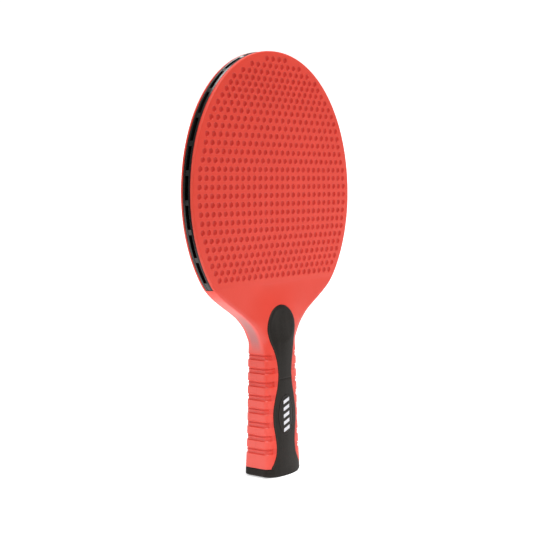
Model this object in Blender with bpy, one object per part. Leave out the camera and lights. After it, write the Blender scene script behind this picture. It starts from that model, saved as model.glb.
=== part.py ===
"""Outdoor table tennis paddle: a moulded black blade core between two red covers, with a screwed handle.

Frame: metres, +Z from the butt up the handle to the blade, origin at the centre of the butt's flat end.
The front face looks along -Y and the paddle's mid-plane is Y = 0.
"""

import math

import bmesh
import bpy
import numpy as np
from mathutils import Matrix, Vector

MM = 0.001

# Driving dimensions, in millimetres.
LENGTH = 252.0
BLADE_HALF_WIDTH = 75.5
BLADE_CENTRE_Z = 168.0
BLADE_LOWER_SEMI_AXIS = 82.0
BLADE_UPPER_POWER = 2.06  # exponent of the superellipse that bounds the upper half of the blade
SLAB_HALF = 4.55  # half the blade's thickness, covers included
BUTT_HALF_WIDTH = 16.9
NECK_RADIUS = 25.0
NECK_SLOPE = math.radians(44.5)  # of the shoulder where it runs into the neck, from the vertical
SHOULDER_ANGLE = math.radians(37.1)  # where the shoulder leaves the blade's lower ellipse
SHOULDER_END = (22.4, 90.2)
GAP = 0.3

SHEET = 1.7  # cover over the blade
WALL = 2.0  # cover over the neck and handle
CORE_HALF = SLAB_HALF - SHEET - GAP
CORE_RECESS = 0.3  # core's edge, inside the covers' edge
PLATE = 1.3  # each black skin of the core
SLOT_END_Z = 114.4  # below this the covers close over the core's edge
TANG_HALF_WIDTH = 9.0
NECK_CLEARANCE = 0.6  # between the core and the covers' walls, across X
NECK_HEIGHTS = (60, 80, 84, 88, 92, 96, 100, 104, 107, 110)
TANG_END_Z = 3.0
SCALE_TOP_Z = 103.7
CAP_HEIGHT = 5.3

WINDOWS = 21
BRIDGE_SPACING = math.radians(12.4)  # between the bridges, about the blade's centre
BRIDGE_WIDTH = 3.0
WINDOW_DEPTH = 8.0
CELL_FLATS = 19.0  # hexagonal cells moulded into the back of the tray
CELL_WALL = 1.6
CELL_MARGIN = 10.5  # from the core's edge to the cells

EDGE_CHAMFER = 0.8  # on the covers' outer edges, fading out where the neck starts
CHAMFER_FADE = (88.0, 96.0)
GROOVES = 8  # across each quarter of the grip
GROOVE_PITCH = 8.0
GROOVE_TOP_Z = 73.7
GROOVE_HEIGHT = 3.8
GROOVE_DEPTH = 0.6
GROOVE_MARGIN = 2.2  # between the grooves' ends and the inlay
GROOVE_PARTING = 1.3  # smooth strip each side of the mid-plane

BADGE_Z = 36.5
BADGE_SEMI_AXES = (7.2, 12.0)
BADGE_PROUD = 0.45
BADGE_DEPTH = 1.2

SCREW_HEIGHTS = (86.0, 60.0, 22.0)
SCREW_RADIUS = 1.5
SCREW_HEAD_RADIUS = 2.8
SCREW_HEAD_HEIGHT = 1.6
SCREW_LENGTH = 11.5
SCREW_CLEARANCE = 0.3

# Half-depth of the handle at its crown, then the half-width and the sharpness of the crown's bump.
CROWN = ((0, 11.3), (5, 11.2), (14, 10.8), (26, 10.3), (40, 10.0), (62, 9.9), (75, 9.6), (83, 9.1),
         (90, 8.5), (96, 7.7), (102, 6.6), (108, 5.3), (SLOT_END_Z, SLAB_HALF))
BUMP_SPREAD = ((0, 1.0), (80, 1.0), (86, 1.1), (92, 1.15), (100, 0.86), (108, 0.62), (116, 0.55))
BUMP_POWER = ((0, 0.26), (14, 0.28), (36, 0.3), (60, 0.33), (78, 0.5), (85, 0.9), (92, 1.5), (116, 1.8))

# Half-width of the inlay on the handle's crown, from its flared foot to its thumb pad.
INLAY_PROFILE = ((5.6, 13.5), (8.5, 11.7), (13, 9.6), (18, 8.9), (25, 9.65), (32, 10.85), (36, 11.0),
                 (40, 10.7), (47, 9.15), (54, 7.2), (61, 6.4), (68, 7.2), (75, 9.1), (82, 11.9),
                 (88.5, 13.4))
INLAY_TOP_Z = 102.2


def knots(points, z):
    """A smooth curve through (z, value) points, as a cubic whose slopes follow the neighbouring points."""
    zs, values = np.array(points, float).T
    slopes = np.gradient(values, zs)
    flat = np.r_[True, np.diff(values)[:-1] * np.diff(values)[1:] <= 0, True]
    slopes[flat] = 0.0
    z = min(max(z, zs[0]), zs[-1])
    i = min(max(int(np.searchsorted(zs, z)) - 1, 0), len(zs) - 2)
    step = zs[i + 1] - zs[i]
    t = (z - zs[i]) / step
    low, high = values[i], values[i + 1]
    return (
        low * (2 * t**3 - 3 * t**2 + 1)
        + slopes[i] * step * (t**3 - 2 * t**2 + t)
        + high * (3 * t**2 - 2 * t**3)
        + slopes[i + 1] * step * (t**3 - t**2)
    )


def right_outline():
    """The paddle's right-hand outline from the top of the blade to the butt, as rows of (x, z)."""
    upper_semi_axis = LENGTH - BLADE_CENTRE_Z
    points = []
    for t in np.linspace(math.pi / 2, 0, 25)[:-1]:
        share = 2 / BLADE_UPPER_POWER
        points.append((BLADE_HALF_WIDTH * math.cos(t) ** share,
                       BLADE_CENTRE_Z + upper_semi_axis * math.sin(t) ** share))
    for t in np.linspace(0, SHOULDER_ANGLE, 13):
        points.append((BLADE_HALF_WIDTH * math.cos(t), BLADE_CENTRE_Z - BLADE_LOWER_SEMI_AXIS * math.sin(t)))
    start = Vector(points[-1])
    end = Vector(SHOULDER_END)
    leave = Vector((-BLADE_HALF_WIDTH * math.sin(SHOULDER_ANGLE),
                    -BLADE_LOWER_SEMI_AXIS * math.cos(SHOULDER_ANGLE))).normalized()
    arrive = Vector((-math.sin(NECK_SLOPE), -math.cos(NECK_SLOPE)))
    reach = (end - start).length / 3
    for t in np.linspace(0, 1, 7)[1:]:
        point = ((1 - t) ** 3 * start + 3 * t * (1 - t) ** 2 * (start + leave * reach)
                 + 3 * t**2 * (1 - t) * (end - arrive * reach) + t**3 * end)
        points.append(tuple(point))
    centre = end + Vector((math.cos(NECK_SLOPE), -math.sin(NECK_SLOPE))) * NECK_RADIUS
    for t in np.linspace(NECK_SLOPE, 0, 8)[1:]:
        points.append((centre.x - NECK_RADIUS * math.cos(t), centre.y + NECK_RADIUS * math.sin(t)))
    neck_x, neck_z = points[-1]
    for t in np.linspace(0, 1, 9)[1:]:
        flare = (BUTT_HALF_WIDTH - neck_x) * t**1.2
        points.append((neck_x + flare, neck_z * (1 - t)))
    return np.array(points)


OUTLINE = right_outline()


def half_width(z):
    return float(np.interp(z, OUTLINE[::-1, 1], OUTLINE[::-1, 0]))


def half_depth(x, z):
    """The distance from the mid-plane to the front surface at (x, z)."""
    if z >= SLOT_END_Z:
        return SLAB_HALF
    spread = half_width(z) * knots(BUMP_SPREAD, z)
    inside = max(1 - (x / spread) ** 2, 0.0)
    return SLAB_HALF + (knots(CROWN, z) - SLAB_HALF) * inside ** knots(BUMP_POWER, z)


def inlay_half_width(z):
    """The inlay's half-width: the profile's curve, then half an ellipse round the thumb pad."""
    pad_z, pad_half = INLAY_PROFILE[-1]
    if z <= pad_z:
        return knots(INLAY_PROFILE, z)
    share = (z - pad_z) / (INLAY_TOP_Z - pad_z)
    return pad_half * math.sqrt(max(1 - share**2, 0.0))


def core_half_width(z):
    """The tray's and lid's half-width: the blade inside the covers, then the neck, then the tang."""
    if z >= SLOT_END_Z:
        return half_width(z) - CORE_RECESS
    wide = half_width(z) - WALL - NECK_CLEARANCE
    share = min(max((z - 80) / 16, 0.0), 1.0)
    return TANG_HALF_WIDTH + (wide - TANG_HALF_WIDTH) * share**2 * (3 - 2 * share)


def new_object(name, bm, material=None):
    """An object made from a bmesh in millimetres, on the paddle's empty."""
    bmesh.ops.recalc_face_normals(bm, faces=bm.faces)
    bm.transform(Matrix.Scale(MM, 4))
    mesh = bpy.data.meshes.new(name)
    bm.to_mesh(mesh)
    bm.free()
    obj = bpy.data.objects.new(name, mesh)
    bpy.context.scene.collection.objects.link(obj)
    if material:
        dress(obj, material)
    return obj


def loft(sections):
    """A closed body through sections that have the same number of points, capped at both ends."""
    bm = bmesh.new()
    rings = [[bm.verts.new(point) for point in section] for section in sections]
    for low, high in zip(rings, rings[1:]):
        for i in range(len(low)):
            j = (i + 1) % len(low)
            bm.faces.new((low[i], low[j], high[j], high[i]))
    bm.faces.new(rings[0])
    bm.faces.new(rings[-1])
    return bm


def prism(outline, low, high):
    """An outline in XZ, given as (x, z) points, extruded along Y."""
    return loft([[(x, y, z) for x, z in outline] for y in (low, high)])


def box(low, high):
    return loft([[(low[0], low[1], z), (high[0], low[1], z), (high[0], high[1], z), (low[0], high[1], z)]
                 for z in (low[2], high[2])])


def joined(pieces):
    """Several bmeshes in one, left as separate islands."""
    bm = bmesh.new()
    for piece in pieces:
        mesh = bpy.data.meshes.new("island")
        piece.to_mesh(mesh)
        piece.free()
        bm.from_mesh(mesh)
        bpy.data.meshes.remove(mesh)
    return bm


def combine(obj, bm, operation="DIFFERENCE"):
    """Cuts obj by the body in bm, or joins or intersects them, and leaves the result as obj's own mesh."""
    tool = new_object(obj.name + "_tool", bm)
    modifier = obj.modifiers.new("combine", "BOOLEAN")
    modifier.solver = "EXACT"
    modifier.operation = operation
    modifier.object = tool
    graph = bpy.context.evaluated_depsgraph_get()
    result = bpy.data.meshes.new_from_object(obj.evaluated_get(graph))
    obj.modifiers.clear()
    materials = list(obj.data.materials)
    obj.data = result
    obj.data.materials.clear()
    for material in materials:
        obj.data.materials.append(material)
    bpy.data.objects.remove(tool)


def smooth(obj, degrees=32):
    obj.data.shade_smooth()
    obj.data.set_sharp_from_angle(angle=math.radians(degrees))


def material(name, colour, roughness, metallic=0.0):
    made = bpy.data.materials.new(name)
    made.use_nodes = True
    shader = made.node_tree.nodes["Principled BSDF"]
    shader.inputs["Base Color"].default_value = (*colour, 1)
    shader.inputs["Roughness"].default_value = roughness
    shader.inputs["Metallic"].default_value = metallic
    return made


def dress(obj, finish):
    obj.data.materials.clear()
    obj.data.materials.append(finish)


def surface_section(z, inset=0.0, shrink=1.0, across=6):
    """The paddle's whole section at height z, pulled in by inset and scaled by shrink."""
    width = half_width(z) - inset
    xs = [width * math.sin(t) for t in np.linspace(-math.pi / 2, math.pi / 2, 2 * across + 1)]
    share = half_width(z) / width
    front = [(x * shrink, -(half_depth(x * share, z) - inset) * shrink, z) for x in xs]
    return front + [(x, -y, z) for x, y, z in reversed(front)]


def levels(low, high):
    """Heights for a loft: close together round the neck and the butt, wide apart along the grip."""
    heights = [low, high]
    heights += [z for z in (8.5, 13, 20, 30, 40, 50, 60, 68, 74, 78, 82, 86, 90, 94, 98, 102, 106, 110)
                if low + 0.6 < z < high - 0.6]
    heights += [z for z in OUTLINE[:24, 1] if max(low, BLADE_CENTRE_Z) < z < high - 0.01]
    heights += [z for z in OUTLINE[24:37, 1] if SLOT_END_Z + 0.5 < z < high - 0.5 and z > low + 0.5]
    heights += [SLOT_END_Z] if low < SLOT_END_Z < high else []
    return sorted(set(round(float(z), 4) for z in heights))


def surface_body(low, high, inset=0.0):
    """The body inside the paddle's surface between two heights, pulled in by inset."""
    return loft([surface_section(z, inset) for z in levels(low, high)])


def core_outline(low=TANG_END_Z, extra=0.0):
    """The core's outline in XZ, from low to the top of the blade."""
    top = LENGTH - CORE_RECESS
    side = [(core_half_width(z) + extra, z) for z in (low, *NECK_HEIGHTS)]
    slot = SLOT_END_Z + GAP
    side += [(half_width(slot) - inset + extra, slot) for inset in (WALL + NECK_CLEARANCE, CORE_RECESS)]
    for x, z in OUTLINE[::-1]:
        if slot + 1 < z < top - 0.3:
            side.append((x - CORE_RECESS + extra, z))
    crown = [(0.0, top + extra)]
    return side + crown + [(-x, z) for x, z in reversed(side)]


def edge_path():
    """Points along the core's edge from the slot's right end over the top to its left end."""
    right = OUTLINE[OUTLINE[:, 1] > SLOT_END_Z][::-1]
    end = np.array([[half_width(SLOT_END_Z), SLOT_END_Z]])
    whole = np.vstack([end, right[:-1], right[-1:] * [0, 1], right[:-1][::-1] * [-1, 1], end * [-1, 1]])
    lengths = np.r_[0, np.cumsum(np.hypot(*np.diff(whole, axis=0).T))]
    return whole, lengths


def on_edge(distance):
    """The point on the core's edge at a distance along it, and the unit vector that points into the blade."""
    whole, lengths = edge_path()
    x, ahead_x, behind_x = (np.interp(distance + d, lengths, whole[:, 0]) for d in (0, 1, -1))
    z, ahead_z, behind_z = (np.interp(distance + d, lengths, whole[:, 1]) for d in (0, 1, -1))
    along = Vector((ahead_x - behind_x, ahead_z - behind_z)).normalized()
    return Vector((x, z)), Vector((-along.y, along.x))


def window_pockets():
    """The pockets that open in the slot round the blade, between the bridges."""
    whole, lengths = edge_path()
    angles = np.arctan2(whole[:, 1] - BLADE_CENTRE_Z, whole[:, 0])
    angles[angles < -math.pi / 2] += 2 * math.pi
    bridges = math.pi / 2 + (np.arange(WINDOWS + 1) - WINDOWS / 2) * BRIDGE_SPACING
    centres = np.interp(bridges, angles, lengths)
    pockets = []
    for low, high in zip(centres, centres[1:]):
        ends = np.linspace(low + BRIDGE_WIDTH / 2, high - BRIDGE_WIDTH / 2, 4)
        places = [on_edge(distance) for distance in ends]
        outer = [point - inward * 3 for point, inward in places]
        inner = [point + inward * WINDOW_DEPTH for point, inward in reversed(places)]
        pockets.append(prism([tuple(p) for p in outer + inner], PLATE - CORE_HALF, CORE_HALF + 1))
    return pockets


def cell_pockets():
    """Hexagonal cells across the tray's back, wherever a whole cell fits inside the rim."""
    pitch = CELL_FLATS + CELL_WALL
    corner = CELL_FLATS / math.sqrt(3)
    pockets = []
    for row in range(-4, 5):
        for column in range(-4, 5):
            x = (column + (row % 2) / 2) * pitch
            z = BLADE_CENTRE_Z + row * pitch * math.sqrt(3) / 2
            corners = [(x + corner * math.sin(a), z + corner * math.cos(a))
                       for a in np.arange(6) * math.pi / 3]
            if all(abs(cx) < half_width(cz) - CELL_MARGIN and SLOT_END_Z < cz < LENGTH - CELL_MARGIN
                   for cx, cz in corners):
                pockets.append(prism(corners, PLATE - CORE_HALF, CORE_HALF + 1))
    return pockets


def circle(radius, sides=16):
    return [(radius * math.cos(a), radius * math.sin(a)) for a in np.arange(sides) * 2 * math.pi / sides]


def cylinder_y(radius, low, high, z):
    return prism([(x, z + up) for x, up in circle(radius)], low, high)


def screw_holes(radius, low, high):
    return joined([cylinder_y(radius, low, high, z) for z in SCREW_HEIGHTS])


def make_tray(black):
    """The black tray: front skin, windowed rim, ribs between the cells, and the tang."""
    tray = new_object("core_tray", prism(core_outline(), -CORE_HALF, CORE_HALF - PLATE - GAP), black)
    combine(tray, joined(window_pockets() + cell_pockets()))
    combine(tray, screw_holes(SCREW_RADIUS + SCREW_CLEARANCE, -CORE_HALF - 1, CORE_HALF + 1))
    return tray


def make_lid(black):
    """The rear skin, welded over the tray, with its own tongue on the tang."""
    lid = new_object("core_lid", prism(core_outline(), CORE_HALF - PLATE, CORE_HALF), black)
    combine(lid, screw_holes(SCREW_RADIUS + SCREW_CLEARANCE, -CORE_HALF - 1, CORE_HALF + 1))
    return lid


def inlay_outline(extra=0.0, foot=CAP_HEIGHT + GAP):
    """The inlay's outline in XZ, with its foot at the given height."""
    pad_z = INLAY_PROFILE[-1][0]
    heights = [foot, CAP_HEIGHT + GAP, 8.5, 11, 14, 18, 22, 27, 32, 36, 40, 44, 49, 54, 58, 61]
    heights += [65, 69, 73, 77, 81, 85]
    side = [(inlay_half_width(z) + extra, z) for z in heights[foot > CAP_HEIGHT :]]
    rise = INLAY_TOP_Z - pad_z + extra
    reach = INLAY_PROFILE[-1][1] + extra
    side += [(reach * math.cos(a), pad_z + rise * math.sin(a)) for a in np.linspace(0, math.pi / 2, 8)[:-1]]
    return side + [(0.0, pad_z + rise)] + [(-x, z) for x, z in reversed(side)]


def badge_outline(extra=0.0):
    wide, tall = BADGE_SEMI_AXES
    return [((wide + extra) * x, BADGE_Z + (tall + extra) * z) for x, z in circle(1.0, 24)]


def chamfered_space():
    """The space inside the covers' chamfered edge, left wide open below the blade and ahead of the crown."""
    right = [(x, z) for x, z in OUTLINE if z > CHAMFER_FADE[0]][::-1]
    whole = np.array(right[:-1] + [(0.0, LENGTH)] + [(-x, z) for x, z in right[:-1][::-1]])
    along = np.gradient(whole, axis=0)
    inward = np.c_[-along[:, 1], along[:, 0]] / np.hypot(along[:, 0], along[:, 1])[:, None]
    share = np.clip((whole[:, 1] - CHAMFER_FADE[0]) / (CHAMFER_FADE[1] - CHAMFER_FADE[0]), 0, 1)
    wide = BLADE_HALF_WIDTH + 5

    def outline(inset, margin):
        edge = whole + inward * (share * inset - margin)[:, None]
        low = edge[0, 1]
        return [(wide, -5.0), (wide, low), *map(tuple, edge), (-wide, low), (-wide, -5.0)]

    steps = ((5.0, 0.0, 0.5), (EDGE_CHAMFER - SLAB_HALF, 0.0, 0.02), (-SLAB_HALF, EDGE_CHAMFER, 0.0),
             (-30.0, EDGE_CHAMFER, 0.0))
    return loft([[(x, y, z) for x, z in outline(inset, margin)] for y, inset, margin in steps])


def groove_cutter():
    """The bands that cut the grooves into the front half of the grip, on both sides of the inlay."""
    bands = []
    for i in range(GROOVES):
        low = GROOVE_TOP_Z - GROOVE_HEIGHT - i * GROOVE_PITCH
        high = low + GROOVE_HEIGHT
        inner = max(inlay_half_width(z) for z in (low, (low + high) / 2, high)) + GROOVE_MARGIN
        for near, far in ((inner, 30), (-30, -inner)):
            bands.append(box((near, -30, low), (far, -GROOVE_PARTING, high)))
    cutter = new_object("groove_cutter", joined(bands))
    combine(cutter, surface_body(CAP_HEIGHT, GROOVE_TOP_Z + 4, GROOVE_DEPTH))
    return cutter


def make_cover(red):
    """The front cover: the face sheet, the closed shoulders and neck, and the front half of the grip."""
    foot = CAP_HEIGHT + GAP
    cover = new_object("front_cover", surface_body(foot, LENGTH - 0.2), red)
    reach = BLADE_HALF_WIDTH + 10
    cavity = CORE_HALF + GAP
    combine(cover, box((-reach, -cavity, SLOT_END_Z), (reach, reach, LENGTH + 10)))
    neck = [(core_half_width(z) + NECK_CLEARANCE, z) for z in (*NECK_HEIGHTS, SLOT_END_Z - GAP)]
    neck.append((half_width(SLOT_END_Z) - WALL, SLOT_END_Z + 0.5))
    combine(cover, prism(neck + [(-x, z) for x, z in reversed(neck)], -cavity, reach))
    inner = [surface_section(z, WALL) for z in levels(foot + 0.1, SCALE_TOP_Z + GAP)]
    inner.insert(0, [(x, y, foot - 3) for x, y, _ in inner[0]])
    combine(cover, loft(inner))
    combine(cover, prism(inlay_outline(GAP, foot - 3), -reach, 0))
    combine(cover, box((-reach, -GAP / 2, -10), (reach, reach, LENGTH + 10)))
    combine(cover, chamfered_space(), "INTERSECT")
    combine_objects(cover, groove_cutter())
    return cover


def make_scale(name, black):
    """One of the two black handle scales that clamp the tang, before its screw holes."""
    foot = CAP_HEIGHT + GAP
    scale = new_object(name, surface_body(foot, SCALE_TOP_Z, WALL + GAP), black)
    reach = BLADE_HALF_WIDTH
    cavity = CORE_HALF + GAP
    pocket = [(core_half_width(z) + (GAP if z < 90 else 3), z) for z in (foot - 3, *NECK_HEIGHTS)]
    combine(scale, prism(pocket + [(-x, z) for x, z in reversed(pocket)], -cavity, reach))
    combine(scale, box((-reach, -GAP / 2, -10), (reach, reach, LENGTH)))
    return scale


def make_inlay(black):
    """The grip inlay on the handle's crown: thumb pad, waist, swell for the badge, and flared foot."""
    foot = CAP_HEIGHT + GAP
    inlay = new_object("front_inlay", surface_body(foot, SCALE_TOP_Z + 3), black)
    combine(inlay, surface_body(foot - 2, SCALE_TOP_Z + 6, WALL))
    combine(inlay, prism(inlay_outline(0, foot), -30, -SLAB_HALF / 2), "INTERSECT")
    pocket = new_object("badge_pocket", prism(badge_outline(GAP), -30, -SLAB_HALF))
    combine(pocket, surface_body(BADGE_Z - 20, BADGE_Z + 20, BADGE_DEPTH + GAP))
    combine_objects(inlay, pocket)
    return inlay


def combine_objects(obj, tool):
    """Cuts obj by another object, which it then removes."""
    bm = bmesh.new()
    bm.from_mesh(tool.data)
    bm.transform(Matrix.Scale(1 / MM, 4))
    bpy.data.objects.remove(tool)
    combine(obj, bm)


def make_badge(black):
    """The oval badge, let into the inlay and standing a little proud of it."""
    badge = new_object("front_badge", surface_body(BADGE_Z - 20, BADGE_Z + 20, -BADGE_PROUD), black)
    combine(badge, surface_body(BADGE_Z - 22, BADGE_Z + 22, BADGE_DEPTH))
    combine(badge, prism(badge_outline(), -30, -SLAB_HALF), "INTERSECT")
    return badge


def make_cap(black):
    """The butt cap, with a rounded rim, a flat end to stand on and a socket for the tang."""
    rim = ((0.0, 0.87), (0.3, 0.925), (0.9, 0.97), (1.8, 0.995), (2.8, 1.0), (CAP_HEIGHT, 1.0))
    cap = new_object("butt_cap", loft([surface_section(z, 0.0, shrink, 9) for z, shrink in rim]), black)
    half = TANG_HALF_WIDTH + GAP
    cavity = CORE_HALF + GAP
    combine(cap, box((-half, -cavity, TANG_END_Z - GAP), (half, cavity, CAP_HEIGHT + 1)))
    return cap


def screw_mesh():
    """A countersunk self-tapping screw with a square drive, head's top at Y = 0, point towards -Y."""
    rings = ((SCREW_HEAD_RADIUS, 0.0), (SCREW_HEAD_RADIUS, -0.4), (SCREW_RADIUS, -SCREW_HEAD_HEIGHT),
             (SCREW_RADIUS, 2.0 - SCREW_LENGTH), (0.4, -SCREW_LENGTH))
    bm = loft([[(x, y, z) for x, z in circle(radius)] for radius, y in rings])
    screw = new_object("handle_screw_1", bm)
    drive = 0.9
    combine(screw, box((-drive, -1.1, -drive), (drive, 1, drive)))
    mesh = screw.data
    bpy.data.objects.remove(screw)
    return mesh


def make_screws(steel):
    """Three screws through the rear scale, the tang and into the front scale."""
    mesh = screw_mesh()
    mesh.materials.append(steel)
    for number, z in enumerate(SCREW_HEIGHTS, 1):
        screw = bpy.data.objects.new(f"handle_screw_{number}", mesh)
        bpy.context.scene.collection.objects.link(screw)
        screw.location = (0, screw_seat(z) * MM, z * MM)


def screw_seat(z):
    """Where a screw's head ends, just under the rear scale's surface."""
    return half_depth(0, z) - WALL - GAP - 0.4


def rear_twin(front, name):
    """The same piece on the rear of the paddle: a half turn about the handle's axis."""
    twin = bpy.data.objects.new(name, front.data)
    bpy.context.scene.collection.objects.link(twin)
    twin.rotation_euler = (0, 0, math.pi)
    return twin


def main():
    for obj in list(bpy.data.objects):
        bpy.data.objects.remove(obj)
    red = material("red_elastomer", (0.78, 0.07, 0.045), 0.5)
    black = material("black_nylon", (0.022, 0.022, 0.021), 0.42)
    soft_black = material("black_soft_grip", (0.03, 0.029, 0.027), 0.6)
    steel = material("zinc_steel", (0.62, 0.62, 0.6), 0.3, 1.0)

    make_tray(black)
    make_lid(black)
    cover = make_cover(red)
    rear_twin(cover, "rear_cover")
    front_scale = make_scale("front_scale", black)
    combine(front_scale, screw_holes(SCREW_RADIUS + SCREW_CLEARANCE, -6.3, 5))
    rear_scale = make_scale("rear_scale", black)
    rear_scale.data.transform(Matrix.Rotation(math.pi, 4, "Z"))
    combine(rear_scale, screw_holes(SCREW_RADIUS + SCREW_CLEARANCE, -5, 20))
    seats = [cylinder_y(SCREW_HEAD_RADIUS + SCREW_CLEARANCE, screw_seat(z) - SCREW_HEAD_HEIGHT - 0.2, 20, z)
             for z in SCREW_HEIGHTS]
    combine(rear_scale, joined(seats))
    inlay = make_inlay(soft_black)
    rear_twin(inlay, "rear_inlay")
    badge = make_badge(soft_black)
    rear_twin(badge, "rear_badge")
    make_cap(soft_black)
    make_screws(steel)

    paddle = bpy.data.objects.new("paddle", None)
    bpy.context.scene.collection.objects.link(paddle)
    for obj in list(bpy.context.scene.collection.objects):
        if obj.type == "MESH":
            obj.parent = paddle
            smooth(obj)


main()
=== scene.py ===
"""Outdoor table tennis paddle: the looks of its pieces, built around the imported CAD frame."""

import logging
import math
from collections.abc import Iterable, Sequence
from dataclasses import dataclass, field
from enum import Enum

import bmesh
import bpy
import numpy as np
from mathutils import Matrix, Vector


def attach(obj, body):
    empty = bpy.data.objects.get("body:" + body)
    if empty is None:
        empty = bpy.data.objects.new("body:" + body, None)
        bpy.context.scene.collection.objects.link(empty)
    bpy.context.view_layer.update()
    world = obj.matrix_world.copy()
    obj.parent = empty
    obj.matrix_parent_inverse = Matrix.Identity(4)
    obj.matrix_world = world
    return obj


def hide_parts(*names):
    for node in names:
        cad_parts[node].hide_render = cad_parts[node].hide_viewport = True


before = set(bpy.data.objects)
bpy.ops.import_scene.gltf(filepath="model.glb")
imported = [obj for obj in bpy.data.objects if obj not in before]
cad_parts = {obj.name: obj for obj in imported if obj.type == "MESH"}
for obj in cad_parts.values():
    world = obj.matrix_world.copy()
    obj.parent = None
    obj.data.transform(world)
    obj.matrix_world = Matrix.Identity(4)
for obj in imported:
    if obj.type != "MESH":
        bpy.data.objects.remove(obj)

log = logging.getLogger("paddle")

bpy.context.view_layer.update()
MM = 0.001
Triple = tuple[float, float, float]
Colour = Triple
Points = Sequence[Sequence[float]]
Piece = bpy.types.Object
Mesh = bpy.types.Mesh
Material = bpy.types.Material
Node = bpy.types.Node
NodeTree = bpy.types.NodeTree
Socket = bpy.types.NodeSocket


class Side(Enum):
    """The two faces of the paddle: the rear one is the front one after half a turn about the handle."""

    FRONT = "front"
    REAR = "rear"

    def named(self, label: str) -> str:
        """A piece's name on this side."""
        return f"{self.value}_{label}"


# ---------------------------------------------------------------- shape


@dataclass(frozen=True)
class PaddleShape:
    """The paddle's outline and surface, in millimetres, as the CAD frame has them."""

    length: float = 252.0
    blade_half_width: float = 75.5
    blade_centre_z: float = 168.0
    blade_lower_axis: float = 82.0
    blade_upper_power: float = 2.06
    slab_half: float = 4.55
    butt_half_width: float = 16.9
    neck_radius: float = 25.0
    neck_slope: float = math.radians(44.5)
    shoulder_angle: float = math.radians(37.1)
    shoulder_end: tuple[float, float] = (22.4, 90.2)
    gap: float = 0.3
    sheet: float = 1.7
    wall: float = 2.0
    slot_end_z: float = 114.4
    cap_height: float = 5.3
    scale_top_z: float = 103.7
    inlay_top_z: float = 102.2
    crown: Points = (
        (0, 11.3), (5, 11.2), (14, 10.8), (26, 10.3), (40, 10.0), (62, 9.9), (75, 9.6), (83, 9.1),
        (90, 8.5), (96, 7.7), (102, 6.6), (108, 5.3), (114.4, 4.55),
    )
    bump_spread: Points = (
        (0, 1.0), (80, 1.0), (86, 1.1), (92, 1.15), (100, 0.86), (108, 0.62), (116, 0.55),
    )
    bump_power: Points = (
        (0, 0.26), (14, 0.28), (36, 0.3), (60, 0.33), (78, 0.5), (85, 0.9), (92, 1.5), (116, 1.8),
    )
    inlay_profile: Points = (
        (5.6, 13.5), (8.5, 11.7), (13, 9.6), (18, 8.9), (25, 9.65), (32, 10.85), (36, 11.0), (40, 10.7),
        (47, 9.15), (54, 7.2), (61, 6.4), (68, 7.2), (75, 9.1), (82, 11.9), (88.5, 13.4),
    )

    @property
    def core_half(self) -> float:
        """Half the black core's thickness."""
        return self.slab_half - self.sheet - self.gap

    @property
    def foot_z(self) -> float:
        """Where the covers and inlays start, above the cap."""
        return self.cap_height + self.gap

    def right_outline(self, detail: int = 4) -> np.ndarray:
        """Traces the right-hand outline from the top of the blade to the butt.

        Args:
            detail: How many steps stand for one of the CAD outline's steps.

        Returns:
            Rows of (x, z).
        """
        share = 2 / self.blade_upper_power
        upper = self.length - self.blade_centre_z
        rows = []
        for t in np.linspace(math.pi / 2, 0, 24 * detail + 1)[:-1]:
            rows.append((
                self.blade_half_width * max(math.cos(t), 0.0) ** share,
                self.blade_centre_z + upper * math.sin(t) ** share,
            ))
        for t in np.linspace(0, self.shoulder_angle, 12 * detail + 1):
            rows.append((
                self.blade_half_width * math.cos(t),
                self.blade_centre_z - self.blade_lower_axis * math.sin(t),
            ))
        start, end = Vector(rows[-1]), Vector(self.shoulder_end)
        leave = Vector((
            -self.blade_half_width * math.sin(self.shoulder_angle),
            -self.blade_lower_axis * math.cos(self.shoulder_angle),
        )).normalized()
        arrive = Vector((-math.sin(self.neck_slope), -math.cos(self.neck_slope)))
        reach = (end - start).length / 3
        for t in np.linspace(0, 1, 6 * detail + 1)[1:]:
            point = (
                (1 - t) ** 3 * start
                + 3 * t * (1 - t) ** 2 * (start + leave * reach)
                + 3 * t**2 * (1 - t) * (end - arrive * reach)
                + t**3 * end
            )
            rows.append(tuple(point))
        away = Vector((math.cos(self.neck_slope), -math.sin(self.neck_slope)))
        centre = end + away * self.neck_radius
        for t in np.linspace(self.neck_slope, 0, 7 * detail + 1)[1:]:
            rows.append((
                centre.x - self.neck_radius * math.cos(t),
                centre.y + self.neck_radius * math.sin(t),
            ))
        neck_x, neck_z = rows[-1]
        for t in np.linspace(0, 1, 8 * detail + 1)[1:]:
            flare = (self.butt_half_width - neck_x) * t**1.2
            rows.append((neck_x + flare, neck_z * (1 - t)))
        return np.array(rows, float)

    def half_width(self, z: float | np.ndarray) -> float | np.ndarray:
        """The outline's half-width at a height."""
        rows = OUTLINE[::-1]
        return np.interp(z, rows[:, 1], rows[:, 0])

    def half_depth(self, x: np.ndarray | float, z: float) -> np.ndarray:
        """The distance from the mid-plane to the front surface.

        Args:
            x: Places across the paddle, in millimetres.
            z: One height.

        Returns:
            The half-depth at each x.
        """
        x = np.asarray(x, float)
        if z >= self.slot_end_z:
            return np.full_like(x, self.slab_half)
        spread = self.half_width(z) * smooth_through(self.bump_spread, z)
        inside = np.clip(1 - (x / spread) ** 2, 0, None)
        rise = smooth_through(self.crown, z) - self.slab_half
        return self.slab_half + rise * inside ** smooth_through(self.bump_power, z)

    def inlay_half_width(self, z: float) -> float:
        """The inlay's half-width at a height: the profile's curve, then half an ellipse round the pad."""
        pad_z, pad_half = self.inlay_profile[-1]
        if z <= pad_z:
            return smooth_through(self.inlay_profile, z)
        share = min((z - pad_z) / (self.inlay_top_z - pad_z), 1.0)
        return pad_half * math.sqrt(1 - share**2)


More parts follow.
